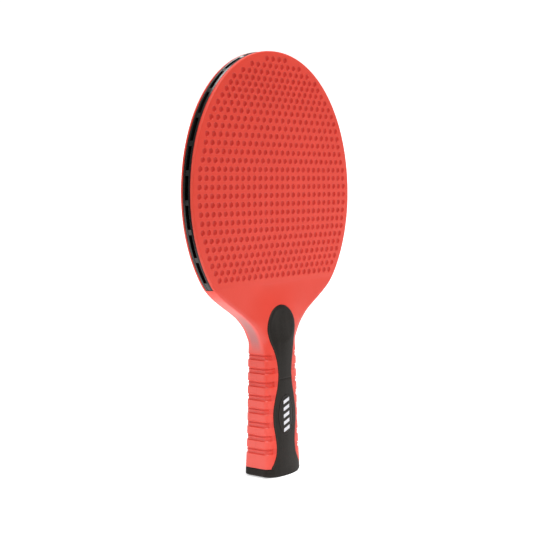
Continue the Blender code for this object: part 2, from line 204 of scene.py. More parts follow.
def smooth_through(points: Points, z: float, free_ends: bool = False) -> float:
    """A smooth curve through (z, value) points, whose slope at each point follows its neighbours.

    Args:
        points: Rows of (z, value), rising in z.
        z: Where to read the curve. It is held at the ends.
        free_ends: Whether the curve keeps its slope up to its ends, where it otherwise levels out.

    Returns:
        The value at z.
    """
    zs, values = np.array(points, float).T
    slopes = np.gradient(values, zs)
    level = not free_ends
    slopes[np.r_[level, np.diff(values)[:-1] * np.diff(values)[1:] <= 0, level]] = 0.0
    z = min(max(z, zs[0]), zs[-1])
    i = min(max(int(np.searchsorted(zs, z)) - 1, 0), len(zs) - 2)
    step = zs[i + 1] - zs[i]
    t = (z - zs[i]) / step
    return float(
        values[i] * (2 * t**3 - 3 * t**2 + 1)
        + slopes[i] * step * (t**3 - 2 * t**2 + t)
        + values[i + 1] * (3 * t**2 - 2 * t**3)
        + slopes[i + 1] * step * (t**3 - t**2)
    )


SHAPE = PaddleShape()
OUTLINE = SHAPE.right_outline()


# ---------------------------------------------------------------- meshes


def new_piece(name: str, points: Iterable[Sequence[float]], faces: Iterable[Sequence[int]]) -> Piece:
    """Makes an object from points in millimetres.

    Args:
        name: The object's name.
        points: Its vertices, in millimetres.
        faces: Its faces, as lists of vertex numbers.

    Returns:
        The new object, linked to the scene, at the origin.
    """
    mesh = bpy.data.meshes.new(name)
    scaled = [(x * MM, y * MM, z * MM) for x, y, z in points]
    mesh.from_pydata(scaled, [], [list(face) for face in faces])
    mesh.validate()
    face_outwards(mesh)
    piece = bpy.data.objects.new(name, mesh)
    bpy.context.scene.collection.objects.link(piece)
    return piece


def face_outwards(mesh: Mesh, merge: float = 1e-7) -> None:
    """Merges doubles and turns every face outwards."""
    bm = bmesh.new()
    bm.from_mesh(mesh)
    bmesh.ops.remove_doubles(bm, verts=bm.verts, dist=merge)
    bmesh.ops.recalc_face_normals(bm, faces=bm.faces)
    bm.to_mesh(mesh)
    bm.free()


def loft(name: str, sections: Sequence[Points]) -> Piece:
    """A closed body through sections with the same number of points, capped at both ends."""
    count = len(sections[0])
    points = [point for section in sections for point in section]
    faces = []
    for level in range(len(sections) - 1):
        for i in range(count):
            j = (i + 1) % count
            low, high = level * count, (level + 1) * count
            faces.append((low + i, low + j, high + j, high + i))
    faces.append(tuple(range(count)))
    faces.append(tuple(range(len(points) - count, len(points))))
    return new_piece(name, points, faces)


def prism(name: str, outline: Points, low: float, high: float) -> Piece:
    """An outline in XZ, as (x, z) points, extruded along Y."""
    return loft(name, [[(x, y, z) for x, z in outline] for y in (low, high)])


def brick(name: str, low: Sequence[float], high: Sequence[float]) -> Piece:
    """A box between two corners."""
    sections = []
    for z in (low[2], high[2]):
        sections.append([
            (low[0], low[1], z), (high[0], low[1], z), (high[0], high[1], z), (low[0], high[1], z),
        ])
    return loft(name, sections)


def settle(piece: Piece) -> Piece:
    """Makes a piece's modifiers part of its mesh."""
    graph = bpy.context.evaluated_depsgraph_get()
    result = bpy.data.meshes.new_from_object(piece.evaluated_get(graph))
    piece.modifiers.clear()
    old = piece.data
    piece.data = result
    result.name = piece.name
    bpy.data.meshes.remove(old)
    return piece


def carve(piece: Piece, tool: Piece) -> None:
    """Cuts a piece by a tool, which is then removed."""
    modifier = piece.modifiers.new("carve", "BOOLEAN")
    modifier.solver = "MANIFOLD"
    modifier.operation = "DIFFERENCE"
    modifier.object = tool
    settle(piece)
    bpy.data.objects.remove(tool)


def finish_mesh(piece: Piece, material: Material, sharp: float = 35.0) -> None:
    """Shades a piece smooth up to an angle and gives it one material."""
    piece.data.materials.clear()
    piece.data.materials.append(material)
    piece.data.shade_smooth()
    piece.data.set_sharp_from_angle(angle=math.radians(sharp))


def rear_copy(front: Piece, name: str) -> Piece:
    """The same piece after half a turn about the handle, with its place in its mesh."""
    mesh = front.data.copy()
    mesh.name = name
    mesh.transform(Matrix.Rotation(math.pi, 4, "Z"))
    piece = bpy.data.objects.new(name, mesh)
    bpy.context.scene.collection.objects.link(piece)
    return piece


def mount_piece(piece: Piece, slot: str | None, *nodes: str) -> None:
    """Rides a piece on the paddle and hides the CAD nodes that it stands for."""
    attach(piece, "root")
    if nodes:
        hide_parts(*nodes)
    log.info("%s: %d faces", piece.name, len(piece.data.polygons))


def mount_pair(front: Piece, slot: str | None, label: str, node: str | None = None) -> None:
    """Mounts a front piece and its rear twin.

    Args:
        front: The front piece, dressed and marked.
        slot: The material slot of both, or None; it is not used.
        label: What the rear piece is called, without its side.
        node: The CAD node that each stands for, without its side, or None.
    """
    for side in Side:
        piece = front if side is Side.FRONT else rear_copy(front, side.named(label))
        mount_piece(piece, slot, *([side.named(node)] if node else []))


# ---------------------------------------------------------------- node trees


@dataclass
class Tree:
    """A node tree with short ways to add nodes and join them."""

    tree: NodeTree

    def add(self, kind: str, values: dict[str, object] | None = None, **settings: object) -> Node:
        """Adds a node.

        Args:
            kind: The node's type.
            values: Default values by socket name.
            **settings: The node's own properties.

        Returns:
            The new node.
        """
        node = self.tree.nodes.new(kind)
        for key, value in settings.items():
            setattr(node, key, value)
        for key, value in (values or {}).items():
            node.inputs[key].default_value = value
        return node

    def join(self, source: Socket, target: Socket) -> None:
        """Joins an output to an input."""
        self.tree.links.new(source, target)

    def maths(self, operation: str, first: object, second: object = 0.0, clamp: bool = False) -> Socket:
        """Adds a Math node whose inputs are sockets or numbers, and returns its output."""
        node = self.add("ShaderNodeMath", operation=operation, use_clamp=clamp)
        for socket, value in zip(node.inputs, (first, second)):
            if isinstance(value, Socket):
                self.join(value, socket)
            else:
                socket.default_value = value
        return node.outputs[0]

    def blend(self, mask: Socket, first: object, second: object) -> Socket:
        """Mixes two colours by a mask and returns the colour."""
        node = self.add("ShaderNodeMix", data_type="RGBA")
        self.join(mask, node.inputs["Factor"])
        for socket, value in ((node.inputs["A"], first), (node.inputs["B"], second)):
            socket = colour_input(node, socket.name)
            if isinstance(value, Socket):
                self.join(value, socket)
            else:
                socket.default_value = (*value, 1.0)
        return colour_output(node)

    def spread(
        self, value: Socket, low: float, high: float, to: tuple[float, float] = (0.0, 1.0)
    ) -> Socket:
        """Maps a value from low..high to another range, held at its ends."""
        limits = {"From Min": low, "From Max": high, "To Min": to[0], "To Max": to[1]}
        node = self.add("ShaderNodeMapRange", limits)
        self.join(value, node.inputs["Value"])
        return node.outputs["Result"]


def colour_input(node: Node, name: str) -> Socket:
    """The colour socket of that name on a Mix node, which has one for each kind of data."""
    return next(s for s in node.inputs if s.name == name and s.type == "RGBA")


def colour_output(node: Node) -> Socket:
    """The colour output of a Mix node."""
    return next(s for s in node.outputs if s.type == "RGBA")


def new_group(
    name: str,
    kind: str,
    inputs: Sequence[tuple[str, str, object]],
    outputs: Sequence[tuple[str, str]],
) -> tuple[Tree, Node, Node]:
    """Makes a node group with named inputs and outputs.

    Args:
        name: The group's name.
        kind: "ShaderNodeTree" or "GeometryNodeTree".
        inputs: Rows of (name, socket type, default or None).
        outputs: Rows of (name, socket type).

    Returns:
        The tree, its Group Input and its Group Output.
    """
    group = bpy.data.node_groups.new(name, kind)
    for label, socket_type, default in inputs:
        socket = group.interface.new_socket(label, in_out="INPUT", socket_type=socket_type)
        if default is not None:
            socket.default_value = default
    for label, socket_type in outputs:
        group.interface.new_socket(label, in_out="OUTPUT", socket_type=socket_type)
    tree = Tree(group)
    return tree, tree.add("NodeGroupInput"), tree.add("NodeGroupOutput")


# ---------------------------------------------------------------- shared effects


class Effects:
    """The shader groups that more than one finish uses, each built once."""

    def __init__(self) -> None:
        """Builds the groups."""
        self.grain = self._moulded_grain()
        self.patina = self._handling_patina()
        self.dust = self._light_dust()

    @staticmethod
    def _moulded_grain() -> NodeTree:
        """The fine pebbling of a moulded surface: a height, and a mask of its high spots."""
        tree, given, out = new_group(
            "moulded_grain",
            "ShaderNodeTree",
            (
                ("Vector", "NodeSocketVector", None),
                ("Scale", "NodeSocketFloat", 2500.0),
                ("Coarse Share", "NodeSocketFloat", 0.4),
            ),
            (("Height", "NodeSocketFloat"), ("High Spots", "NodeSocketFloat")),
        )
        fine = tree.add("ShaderNodeTexNoise", {"Detail": 2.0, "Roughness": 0.6})
        cells = tree.add("ShaderNodeTexVoronoi", feature="SMOOTH_F1")
        cells.inputs["Smoothness"].default_value = 0.6
        coarse_scale = tree.maths("MULTIPLY", given.outputs["Scale"], 0.42)
        tree.join(given.outputs["Vector"], fine.inputs["Vector"])
        tree.join(given.outputs["Vector"], cells.inputs["Vector"])
        tree.join(given.outputs["Scale"], fine.inputs["Scale"])
        tree.join(coarse_scale, cells.inputs["Scale"])
        coarse = tree.maths("MULTIPLY", cells.outputs["Distance"], given.outputs["Coarse Share"])
        height = tree.maths("ADD", fine.outputs["Fac"], coarse)
        tree.join(height, out.inputs["Height"])
        tree.join(tree.spread(height, 0.55, 0.85), out.inputs["High Spots"])
        return tree.tree

    @staticmethod
    def _handling_patina() -> NodeTree:
        """Broad, soft variation from moulding flow and handling."""
        tree, given, out = new_group(
            "handling_patina",
            "ShaderNodeTree",
            (("Vector", "NodeSocketVector", None), ("Scale", "NodeSocketFloat", 30.0)),
            (("Mask", "NodeSocketFloat"), ("Streaks", "NodeSocketFloat")),
        )
        broad = tree.add("ShaderNodeTexNoise", {"Detail": 4.0, "Roughness": 0.55, "Distortion": 0.6})
        stretch = tree.add("ShaderNodeMapping", {"Scale": (1.0, 1.0, 0.12)})
        streaks = tree.add("ShaderNodeTexNoise", {"Detail": 3.0, "Roughness": 0.5})
        tree.join(given.outputs["Vector"], broad.inputs["Vector"])
        tree.join(given.outputs["Scale"], broad.inputs["Scale"])
        tree.join(given.outputs["Vector"], stretch.inputs["Vector"])
        tree.join(stretch.outputs["Vector"], streaks.inputs["Vector"])
        tree.join(tree.maths("MULTIPLY", given.outputs["Scale"], 6.0), streaks.inputs["Scale"])
        tree.join(tree.spread(broad.outputs["Fac"], 0.3, 0.7), out.inputs["Mask"])
        tree.join(tree.spread(streaks.outputs["Fac"], 0.35, 0.65), out.inputs["Streaks"])
        return tree.tree

    @staticmethod
    def _light_dust() -> NodeTree:
        """Sparse specks of lint and dust."""
        tree, given, out = new_group(
            "light_dust",
            "ShaderNodeTree",
            (
                ("Vector", "NodeSocketVector", None),
                ("Scale", "NodeSocketFloat", 900.0),
                ("Amount", "NodeSocketFloat", 0.3),
            ),
            (("Mask", "NodeSocketFloat"),),
        )
        specks = tree.add("ShaderNodeTexVoronoi", feature="F1")
        where = tree.add("ShaderNodeTexNoise", {"Scale": 40.0, "Detail": 2.0})
        tree.join(given.outputs["Vector"], specks.inputs["Vector"])
        tree.join(given.outputs["Scale"], specks.inputs["Scale"])
        tree.join(given.outputs["Vector"], where.inputs["Vector"])
        spot = tree.spread(specks.outputs["Distance"], 0.05, 0.16, (1.0, 0.0))
        patch = tree.spread(where.outputs["Fac"], 0.5, 0.75)
        mask = tree.maths("MULTIPLY", tree.maths("MULTIPLY", spot, patch), given.outputs["Amount"])
        tree.join(mask, out.inputs["Mask"])
        return tree.tree


# ---------------------------------------------------------------- finishes


@dataclass
class Dresser:
    """One material under construction: its tree, its shader and the shared effects placed in it."""

    name: str
    effects: Effects
    tree: Tree = field(init=False)
    shader: Node = field(init=False)
    vector: Socket = field(init=False)
    material: Material = field(init=False)

    def __post_init__(self) -> None:
        """Starts the material with a Principled shader and Object coordinates."""
        self.material = bpy.data.materials.new(self.name)
        self.material.use_nodes = True
        self.tree = Tree(self.material.node_tree)
        self.shader = self.material.node_tree.nodes["Principled BSDF"]
        self.vector = self.tree.add("ShaderNodeTexCoord").outputs["Object"]

    def effect(self, group: NodeTree, **values: float) -> Node:
        """Places a shared effect, read on Object coordinates, with this material's values."""
        node = self.tree.add("ShaderNodeGroup")
        node.node_tree = group
        self.tree.join(self.vector, node.inputs["Vector"])
        for key, value in values.items():
            node.inputs[key.replace("_", " ").title()].default_value = value
        return node

    def attribute(self, name: str) -> Socket:
        """Reads a piece's own attribute as a number."""
        return self.tree.add("ShaderNodeAttribute", attribute_name=name).outputs["Fac"]

    def bump(self, height: Socket, strength: float, distance: float) -> None:
        """Feeds a height into the shader's normal."""
        node = self.tree.add("ShaderNodeBump", {"Strength": strength, "Distance": distance})
        self.tree.join(height, node.inputs["Height"])
        self.tree.join(node.outputs["Normal"], self.shader.inputs["Normal"])

    def set(self, **values: object) -> None:
        """Sets constants on the shader's own sockets."""
        for key, value in values.items():
            self.shader.inputs[key.replace("_", " ").title().replace("Ior", "IOR")].default_value = value


@dataclass(frozen=True)
class RedElastomer:
    """Satin red elastomer, with painted shade in its dimples and grooves and down the side of its neck, and
    paler where it is rubbed.
    """

    face: Colour = (0.80, 0.055, 0.030)
    # Painted shade: the darker red laid into the dimples and grooves.
    deep: Colour = (0.60, 0.020, 0.010)
    rubbed: Colour = (0.85, 0.11, 0.075)
    # Painted shade down the side of the neck, greyed to stand for a pale reflection there.
    neck_painted_shade: Colour = (0.37, 0.06, 0.06)
    lint: Colour = (0.85, 0.7, 0.66)
    flow_shade: float = 0.95
    # How strongly the painted shade is laid into the recesses.
    recess_share: float = 0.85
    rub_share: float = 0.6
    roughness: float = 0.45
    specular: float = 0.38
    sheen_roughness: float = 0.28
    sheen_ior: float = 1.9

    def material(self, effects: Effects) -> Material:
        """Builds the material."""
        d = Dresser("red_elastomer", effects)
        grain = d.effect(effects.grain, scale=2300.0, coarse_share=0.35)
        patina = d.effect(effects.patina, scale=26.0)
        dust = d.effect(effects.dust, scale=700.0, amount=0.10)
        recess = d.attribute("recess")
        rub = d.attribute("rub")
        tone = d.tree.blend(patina.outputs["Mask"], self.face, tuple(c * self.flow_shade for c in self.face))
        # Painted shade in the dimples and grooves.
        tone = d.tree.blend(d.tree.maths("MULTIPLY", recess, self.recess_share, True), tone, self.deep)
        tone = d.tree.blend(d.tree.maths("MULTIPLY", rub, self.rub_share, True), tone, self.rubbed)
        # Painted shade, greyed like a reflection, down the side of the neck.
        tone = d.tree.blend(d.attribute("burnish"), tone, self.neck_painted_shade)
        tone = d.tree.blend(dust.outputs["Mask"], tone, self.lint)
        d.tree.join(tone, d.shader.inputs["Base Color"])
        ends = (self.roughness - 0.03, self.roughness + 0.04)
        rough = d.tree.spread(patina.outputs["Mask"], 0.0, 1.0, ends)
        peaks = d.tree.maths("MULTIPLY", grain.outputs["High Spots"], 0.05)
        d.tree.join(d.tree.maths("ADD", rough, peaks), d.shader.inputs["Roughness"])
        d.bump(grain.outputs["Height"], 0.10, 0.00012)
        d.tree.join(d.attribute("polish"), d.shader.inputs["Coat Weight"])
        d.set(
            specular_ior_level=self.specular, coat_roughness=self.sheen_roughness, coat_ior=self.sheen_ior
        )
        return d.material


@dataclass(frozen=True)
class BlackPlastic:
    """Black moulded plastic, with a grain, rubbed edges and a soft or glossy finish."""

    name: str
    body: Colour
    rubbed: Colour
    roughness: float
    grain_scale: float = 1800.0
    grain_height: float = 0.15
    specular: float = 0.5
    dust: float = 0.1
    streaks: float = 0.0
    lint: Colour = (0.42, 0.40, 0.38)
    grain_shade: float = 1.35
    roughness_spread: float = 0.05

    def material(self, effects: Effects) -> Material:
        """Builds the material."""
        d = Dresser(self.name, effects)
        grain = d.effect(effects.grain, scale=self.grain_scale, coarse_share=0.6)
        patina = d.effect(effects.patina, scale=40.0)
        dust = d.effect(effects.dust, scale=800.0, amount=self.dust)
        rub = d.attribute("rub")
        paler = tuple(c * self.grain_shade for c in self.body)
        tone = d.tree.blend(grain.outputs["High Spots"], self.body, paler)
        flow = d.tree.maths("MULTIPLY", patina.outputs["Streaks"], self.streaks)
        tone = d.tree.blend(flow, tone, self.rubbed)
        tone = d.tree.blend(rub, tone, self.rubbed)
        tone = d.tree.blend(dust.outputs["Mask"], tone, self.lint)
        d.tree.join(tone, d.shader.inputs["Base Color"])
        ends = (self.roughness - self.roughness_spread, self.roughness + self.roughness_spread)
        rough = d.tree.spread(patina.outputs["Mask"], 0.0, 1.0, ends)
        d.tree.join(rough, d.shader.inputs["Roughness"])
        d.bump(grain.outputs["Height"], self.grain_height, 0.00015)
        d.set(specular_ior_level=self.specular)
        return d.material


@dataclass(frozen=True)
class PrintWhite:
    """Slightly worn white pad print."""

    ink: Colour = (0.74, 0.74, 0.78)
    worn: Colour = (0.5, 0.5, 0.53)
    wear_share: float = 0.25

    def material(self, effects: Effects) -> Material:
        """Builds the material."""
        d = Dresser("print_white", effects)
        patina = d.effect(effects.patina, scale=300.0)
        grain = d.effect(effects.grain, scale=1800.0, coarse_share=0.6)
        wear = d.tree.maths("MULTIPLY", patina.outputs["Mask"], self.wear_share)
        tone = d.tree.blend(wear, self.ink, self.worn)
        d.tree.join(tone, d.shader.inputs["Base Color"])
        rough = d.tree.spread(grain.outputs["High Spots"], 0, 1, (0.45, 0.6))
        d.tree.join(rough, d.shader.inputs["Roughness"])
        d.bump(grain.outputs["Height"], 0.1, 0.0001)
        return d.material


@dataclass(frozen=True)
class ZincSteel:
    """Zinc-plated screw steel with fine turning marks."""

    body: Colour = (0.62, 0.62, 0.60)

    def material(self, effects: Effects) -> Material:
        """Builds the material."""
        d = Dresser("zinc_steel", effects)
        patina = d.effect(effects.patina, scale=260.0)
        tone = d.tree.blend(patina.outputs["Mask"], self.body, tuple(c * 0.8 for c in self.body))
        d.tree.join(tone, d.shader.inputs["Base Color"])
        d.tree.join(d.tree.spread(patina.outputs["Streaks"], 0, 1, (0.22, 0.4)), d.shader.inputs["Roughness"])
        d.bump(patina.outputs["Streaks"], 0.05, 0.0001)
        d.set(metallic=1.0)
        return d.material


@dataclass(frozen=True)
class PaleFloor:
    """Plain pale studio floor with a faint tooth."""

    body: Colour = (0.93, 0.93, 0.93)

    def material(self, effects: Effects) -> Material:
        """Builds the material."""
        d = Dresser("pale_floor", effects)
        patina = d.effect(effects.patina, scale=4.0)
        tone = d.tree.blend(patina.outputs["Mask"], self.body, tuple(c * 0.995 for c in self.body))
        d.tree.join(tone, d.shader.inputs["Base Color"])
        d.tree.join(tone, d.shader.inputs["Emission Color"])
        d.set(roughness=0.9, specular_ior_level=0.0, emission_strength=0.6)
        return d.material


@dataclass
class Finishes:
    """Every material of the paddle."""

    effects: Effects
    red: Material = field(init=False)
    core: Material = field(init=False)
    grip: Material = field(init=False)
    badge: Material = field(init=False)
    white: Material = field(init=False)
    steel: Material = field(init=False)
    floor: Material = field(init=False)

    def __post_init__(self) -> None:
        """Builds the materials."""
        core = BlackPlastic(
            "core_nylon", body=(0.006, 0.0055, 0.005), rubbed=(0.05, 0.047, 0.05), roughness=0.27,
            grain_scale=2200.0, grain_height=0.05, specular=0.5, dust=0.04,
        )
        grip = BlackPlastic(
            "grip_plastic", body=(0.0095, 0.0073, 0.0056), rubbed=(0.050, 0.043, 0.036), roughness=0.52,
            grain_scale=1500.0, grain_height=0.35, specular=0.17, dust=0.15, streaks=0.12,
        )
        badge = BlackPlastic(
            "badge_plastic", body=(0.0105, 0.0082, 0.0064), rubbed=(0.050, 0.043, 0.036), roughness=0.48,
            grain_scale=1900.0, grain_height=0.2, specular=0.19, dust=0.1, streaks=0.08,
        )
        self.red = RedElastomer().material(self.effects)
        self.core = core.material(self.effects)
        self.grip = grip.material(self.effects)
        self.badge = badge.material(self.effects)
        self.white = PrintWhite().material(self.effects)
        self.steel = ZincSteel().material(self.effects)
        self.floor = PaleFloor().material(self.effects)


# ---------------------------------------------------------------- pockets, by geometry nodes


class PocketField:
    """The geometry node tree that sinks one cutter into a body at many seats, each with its turn and size."""

    def __init__(self) -> None:
        """Builds the tree."""
        tree, given, out = new_group(
            "pocket_field",
            "GeometryNodeTree",
            (
                ("Geometry", "NodeSocketGeometry", None),
                ("Seats", "NodeSocketObject", None),
                ("Cutter", "NodeSocketObject", None),
                ("Cutter Scale", "NodeSocketVector", (1.0, 1.0, 1.0)),
                ("Material", "NodeSocketMaterial", None),
            ),
            (("Geometry", "NodeSocketGeometry"),),
        )
        seats = tree.add("GeometryNodeObjectInfo", transform_space="RELATIVE")
        cutter = tree.add("GeometryNodeObjectInfo", transform_space="RELATIVE")
        turn = tree.add("GeometryNodeInputNamedAttribute", {"Name": "turn"}, data_type="FLOAT")
        size = tree.add("GeometryNodeInputNamedAttribute", {"Name": "size"}, data_type="FLOAT_VECTOR")
        rotation = tree.add("ShaderNodeCombineXYZ")
        scale = tree.add("ShaderNodeVectorMath", operation="MULTIPLY")
        place = tree.add("GeometryNodeInstanceOnPoints")
        realize_cutters = tree.add("GeometryNodeRealizeInstances")
        cut = tree.add("GeometryNodeMeshBoolean", operation="DIFFERENCE", solver="MANIFOLD")
        realize = tree.add("GeometryNodeRealizeInstances")
        dress = tree.add("GeometryNodeSetMaterial")
        tree.join(given.outputs["Seats"], seats.inputs["Object"])
        tree.join(given.outputs["Cutter"], cutter.inputs["Object"])
        tree.join(turn.outputs[0], rotation.inputs["Y"])
        tree.join(size.outputs[0], scale.inputs[0])
        tree.join(given.outputs["Cutter Scale"], scale.inputs[1])
        tree.join(seats.outputs["Geometry"], place.inputs["Points"])
        tree.join(cutter.outputs["Geometry"], place.inputs["Instance"])
        tree.join(rotation.outputs[0], place.inputs["Rotation"])
        tree.join(scale.outputs[0], place.inputs["Scale"])
        tree.join(place.outputs["Instances"], realize_cutters.inputs["Geometry"])
        tree.join(given.outputs["Geometry"], cut.inputs["Mesh 1"])
        tree.join(realize_cutters.outputs["Geometry"], cut.inputs["Mesh 2"])
        tree.join(cut.outputs["Mesh"], realize.inputs["Geometry"])
        tree.join(realize.outputs["Geometry"], dress.inputs["Geometry"])
        tree.join(given.outputs["Material"], dress.inputs["Material"])
        tree.join(dress.outputs["Geometry"], out.inputs["Geometry"])
        self.group = tree.tree

    def sink(self, body: Piece, seats: "Seats", cutter: Piece, material: Material) -> None:
        """Sinks the cutter into a body at every seat and makes the result its mesh.

        Args:
            body: The piece to cut.
            seats: Where the pockets go.
            cutter: The shape to sink, about the origin. It is removed.
            material: The finish of the body.
        """
        points = seats.as_object(body.name + "_seats")
        modifier = body.modifiers.new("pockets", "NODES")
        modifier.node_group = self.group
        wanted = {"Seats": points, "Cutter": cutter, "Cutter Scale": (1.0, 1.0, 1.0), "Material": material}
        for item in self.group.interface.items_tree:
            if item.item_type == "SOCKET" and item.in_out == "INPUT" and item.name in wanted:
                modifier[item.identifier] = wanted[item.name]
        settle(body)
        for helper in (points, cutter):
            bpy.data.objects.remove(helper)


@dataclass
class Seats:
    """Places for pockets, in millimetres, each with a turn about Y and a size."""

    places: list[Triple] = field(default_factory=list)
    turns: list[float] = field(default_factory=list)
    sizes: list[Triple] = field(default_factory=list)

    def add(self, place: Triple, turn: float = 0.0, size: Triple = (1.0, 1.0, 1.0)) -> None:
        """Adds one seat."""
        self.places.append(place)
        self.turns.append(turn)
        self.sizes.append(size)

    def as_object(self, name: str) -> Piece:
        """The seats as a mesh of loose points that carry their turn and size."""
        mesh = bpy.data.meshes.new(name)
        mesh.from_pydata([tuple(v * MM for v in place) for place in self.places], [], [])
        turn = mesh.attributes.new("turn", "FLOAT", "POINT")
        turn.data.foreach_set("value", self.turns)
        size = mesh.attributes.new("size", "FLOAT_VECTOR", "POINT")
        size.data.foreach_set("vector", np.array(self.sizes, float).ravel())
        seats = bpy.data.objects.new(name, mesh)
        bpy.context.scene.collection.objects.link(seats)
        return seats


# ---------------------------------------------------------------- covers


@dataclass
class Cover:
    """A red cover: face sheet with dimples, rounded edge, shoulders, neck and grooved half of the grip."""

    finishes: Finishes
    pockets: PocketField
    edge_radius: float = 1.0
    grip_edge_radius: float = 0.35
    parting: float = 0.02
    groove_count: int = 8
    groove_pitch: float = 8.0
    groove_top_z: float = 73.7
    groove_height: float = 3.8
    groove_depth: float = 0.62
    groove_margin: float = 1.9
    groove_fade: float = 0.9
    groove_profile: Points = (
        (0.0, 0.0), (0.12, 0.85), (0.25, 1.0), (0.5, 0.9), (0.58, 0.45), (0.66, 0.45), (0.74, 0.95),
        (0.86, 1.0), (1.0, 0.0),
    )
    wall_columns: int = 7
    round_columns: int = 5
    dimple_radius: float = 1.78
    dimple_depth: float = 0.6
    dimple_sides: int = 14
    polish_band: float = 5.0
    polish_fade: float = 8.0
    side_polish: float = 0.4
    neck_polish: float = 0.27
    # Strength of the painted shade down the side of the neck.
    neck_shade_share: float = 0.9
    dimple_counts: tuple[int, ...] = (*range(21, 27), *(27,) * 8, *range(26, 14, -1), 12, 9, 4)
    row_heights: Points = (
        (0, 120.1), (3, 132.95), (6, 147.3), (10, 167.3), (16, 197.2), (20, 215.7), (23, 227.6),
        (25, 235.05), (28, 247.1),
    )
    row_steps: Points = (
        (0, 5.34), (2, 5.42), (6, 5.18), (10, 5.38), (13, 5.30), (20, 5.96), (25, 5.57), (28, 5.76),
    )

    def build(self) -> None:
        """Builds the front cover and its rear copy, and mounts both."""
        front = self._blank()
        self._hollow(front)
        self.pockets.sink(front, self._dimple_seats(), self._dimple_cutter(), self.finishes.red)
        face_outwards(front.data)
        finish_mesh(front, self.finishes.red)
        self._mark_wear_and_shade(front.data)
        mount_pair(front, "cover_red", "cover_skin", "cover")

    def _edge_radius(self, z: float) -> float:
        """The radius along the cover's outer edge, which tightens down the neck."""
        share = min(max((z - 78) / 20, 0.0), 1.0)
        return self.grip_edge_radius + (self.edge_radius - self.grip_edge_radius) * share

    def _groove_bands(self) -> list[tuple[float, float]]:
        """The (low, high) heights of the grooves."""
        tops = [self.groove_top_z - i * self.groove_pitch for i in range(self.groove_count)]
        return [(top - self.groove_height, top) for top in reversed(tops)]

    def _groove_end(self, z: float) -> float:
        """How far from the middle the grooves end at a height: level within a groove, slanting between."""
        heights, ends = [], []
        for low, high in self._groove_bands():
            end = max(SHAPE.inlay_half_width(v) for v in (low, (low + high) / 2, high)) + self.groove_margin
            heights += [low, high]
            ends += [end, end]
        widest = float(SHAPE.half_width(z)) - 2.2
        return min(float(np.interp(z, heights, ends)), widest)

    def _groove_share(self, z: float) -> float:
        """How deep into a groove a height is, from 0 on the lands to 1 on the groove's floor."""
        for low, high in self._groove_bands():
            if low < z < high:
                return float(np.interp((z - low) / (high - low), *zip(*self.groove_profile)))
        return 0.0

    def _levels(self) -> list[float]:
        """Heights for the grip and neck, close together at the grooves' edges."""
        levels = set(np.round(np.arange(SHAPE.foot_z, 72, 1.1), 3))
        levels |= set(np.round(np.linspace(72, SHAPE.slot_end_z, 40), 3))
        bands = self._groove_bands()
        levels = {z for z in levels if not any(low - 0.7 < z < high + 0.7 for low, high in bands)}
        for low, high in bands:
            levels |= {round(low - 0.5, 3), round(low - 0.12, 3), round(high + 0.12, 3), round(high + 0.5, 3)}
            levels |= {round(low + share * (high - low), 3) for share, _ in self.groove_profile}
        return sorted(levels | {SHAPE.foot_z, SHAPE.slot_end_z})

    def _section(self, z: float) -> np.ndarray:
        """Traces the right half of the front surface at a height, from the parting to the middle.

        Args:
            z: The height.

        Returns:
            Rows of (x, y), the same number at every height.
        """
        width = float(SHAPE.half_width(z))
        radius = self._edge_radius(z)
        x = width * (1 - np.linspace(0, 1, 420) ** 2.6)
        reach = np.clip(radius - (width - x), 0, radius)
        y = -(SHAPE.half_depth(x, z) - (radius - np.sqrt(radius**2 - reach**2)))
        wall_top = y[0]
        wall_y = np.linspace(-self.parting, wall_top, self.wall_columns)
        lengths = np.r_[0, np.cumsum(np.hypot(np.diff(x), np.diff(y)))]
        end = self._groove_end(z)

        def reading(distance: float) -> float:
            return float(np.interp(width - distance, x[::-1], lengths[::-1]))

        def at_x(place: float) -> float:
            return float(np.interp(place, x[::-1], lengths[::-1]))

        rounding = np.linspace(0, reading(radius), self.round_columns + 1)[1:]
        outer = np.linspace(rounding[-1], at_x(end + self.groove_fade), 26)[1:]
        ending = np.linspace(outer[-1], at_x(end), 4)[1:]
        inner = np.linspace(ending[-1], lengths[-1], 16)[1:]
        places = np.r_[rounding, outer, ending, inner]
        curve = np.c_[np.interp(places, lengths, x), np.interp(places, lengths, y)]
        points = np.vstack([[(width, v) for v in wall_y], curve])
        share = self._groove_share(z)
        if share > 0:
            along = np.gradient(points, axis=0)
            inward = np.c_[along[:, 1], -along[:, 0]] / np.hypot(along[:, 0], along[:, 1])[:, None]
            inward *= np.sign((inward * (np.array([0.0, 0.0]) - points)).sum(axis=1))[:, None]
            last = len(wall_y) + len(rounding) + len(outer) - 1
            depth = np.zeros(len(points))
            depth[:last + 1] = self.groove_depth * share
            points = points + inward * depth[:, None]
        return points

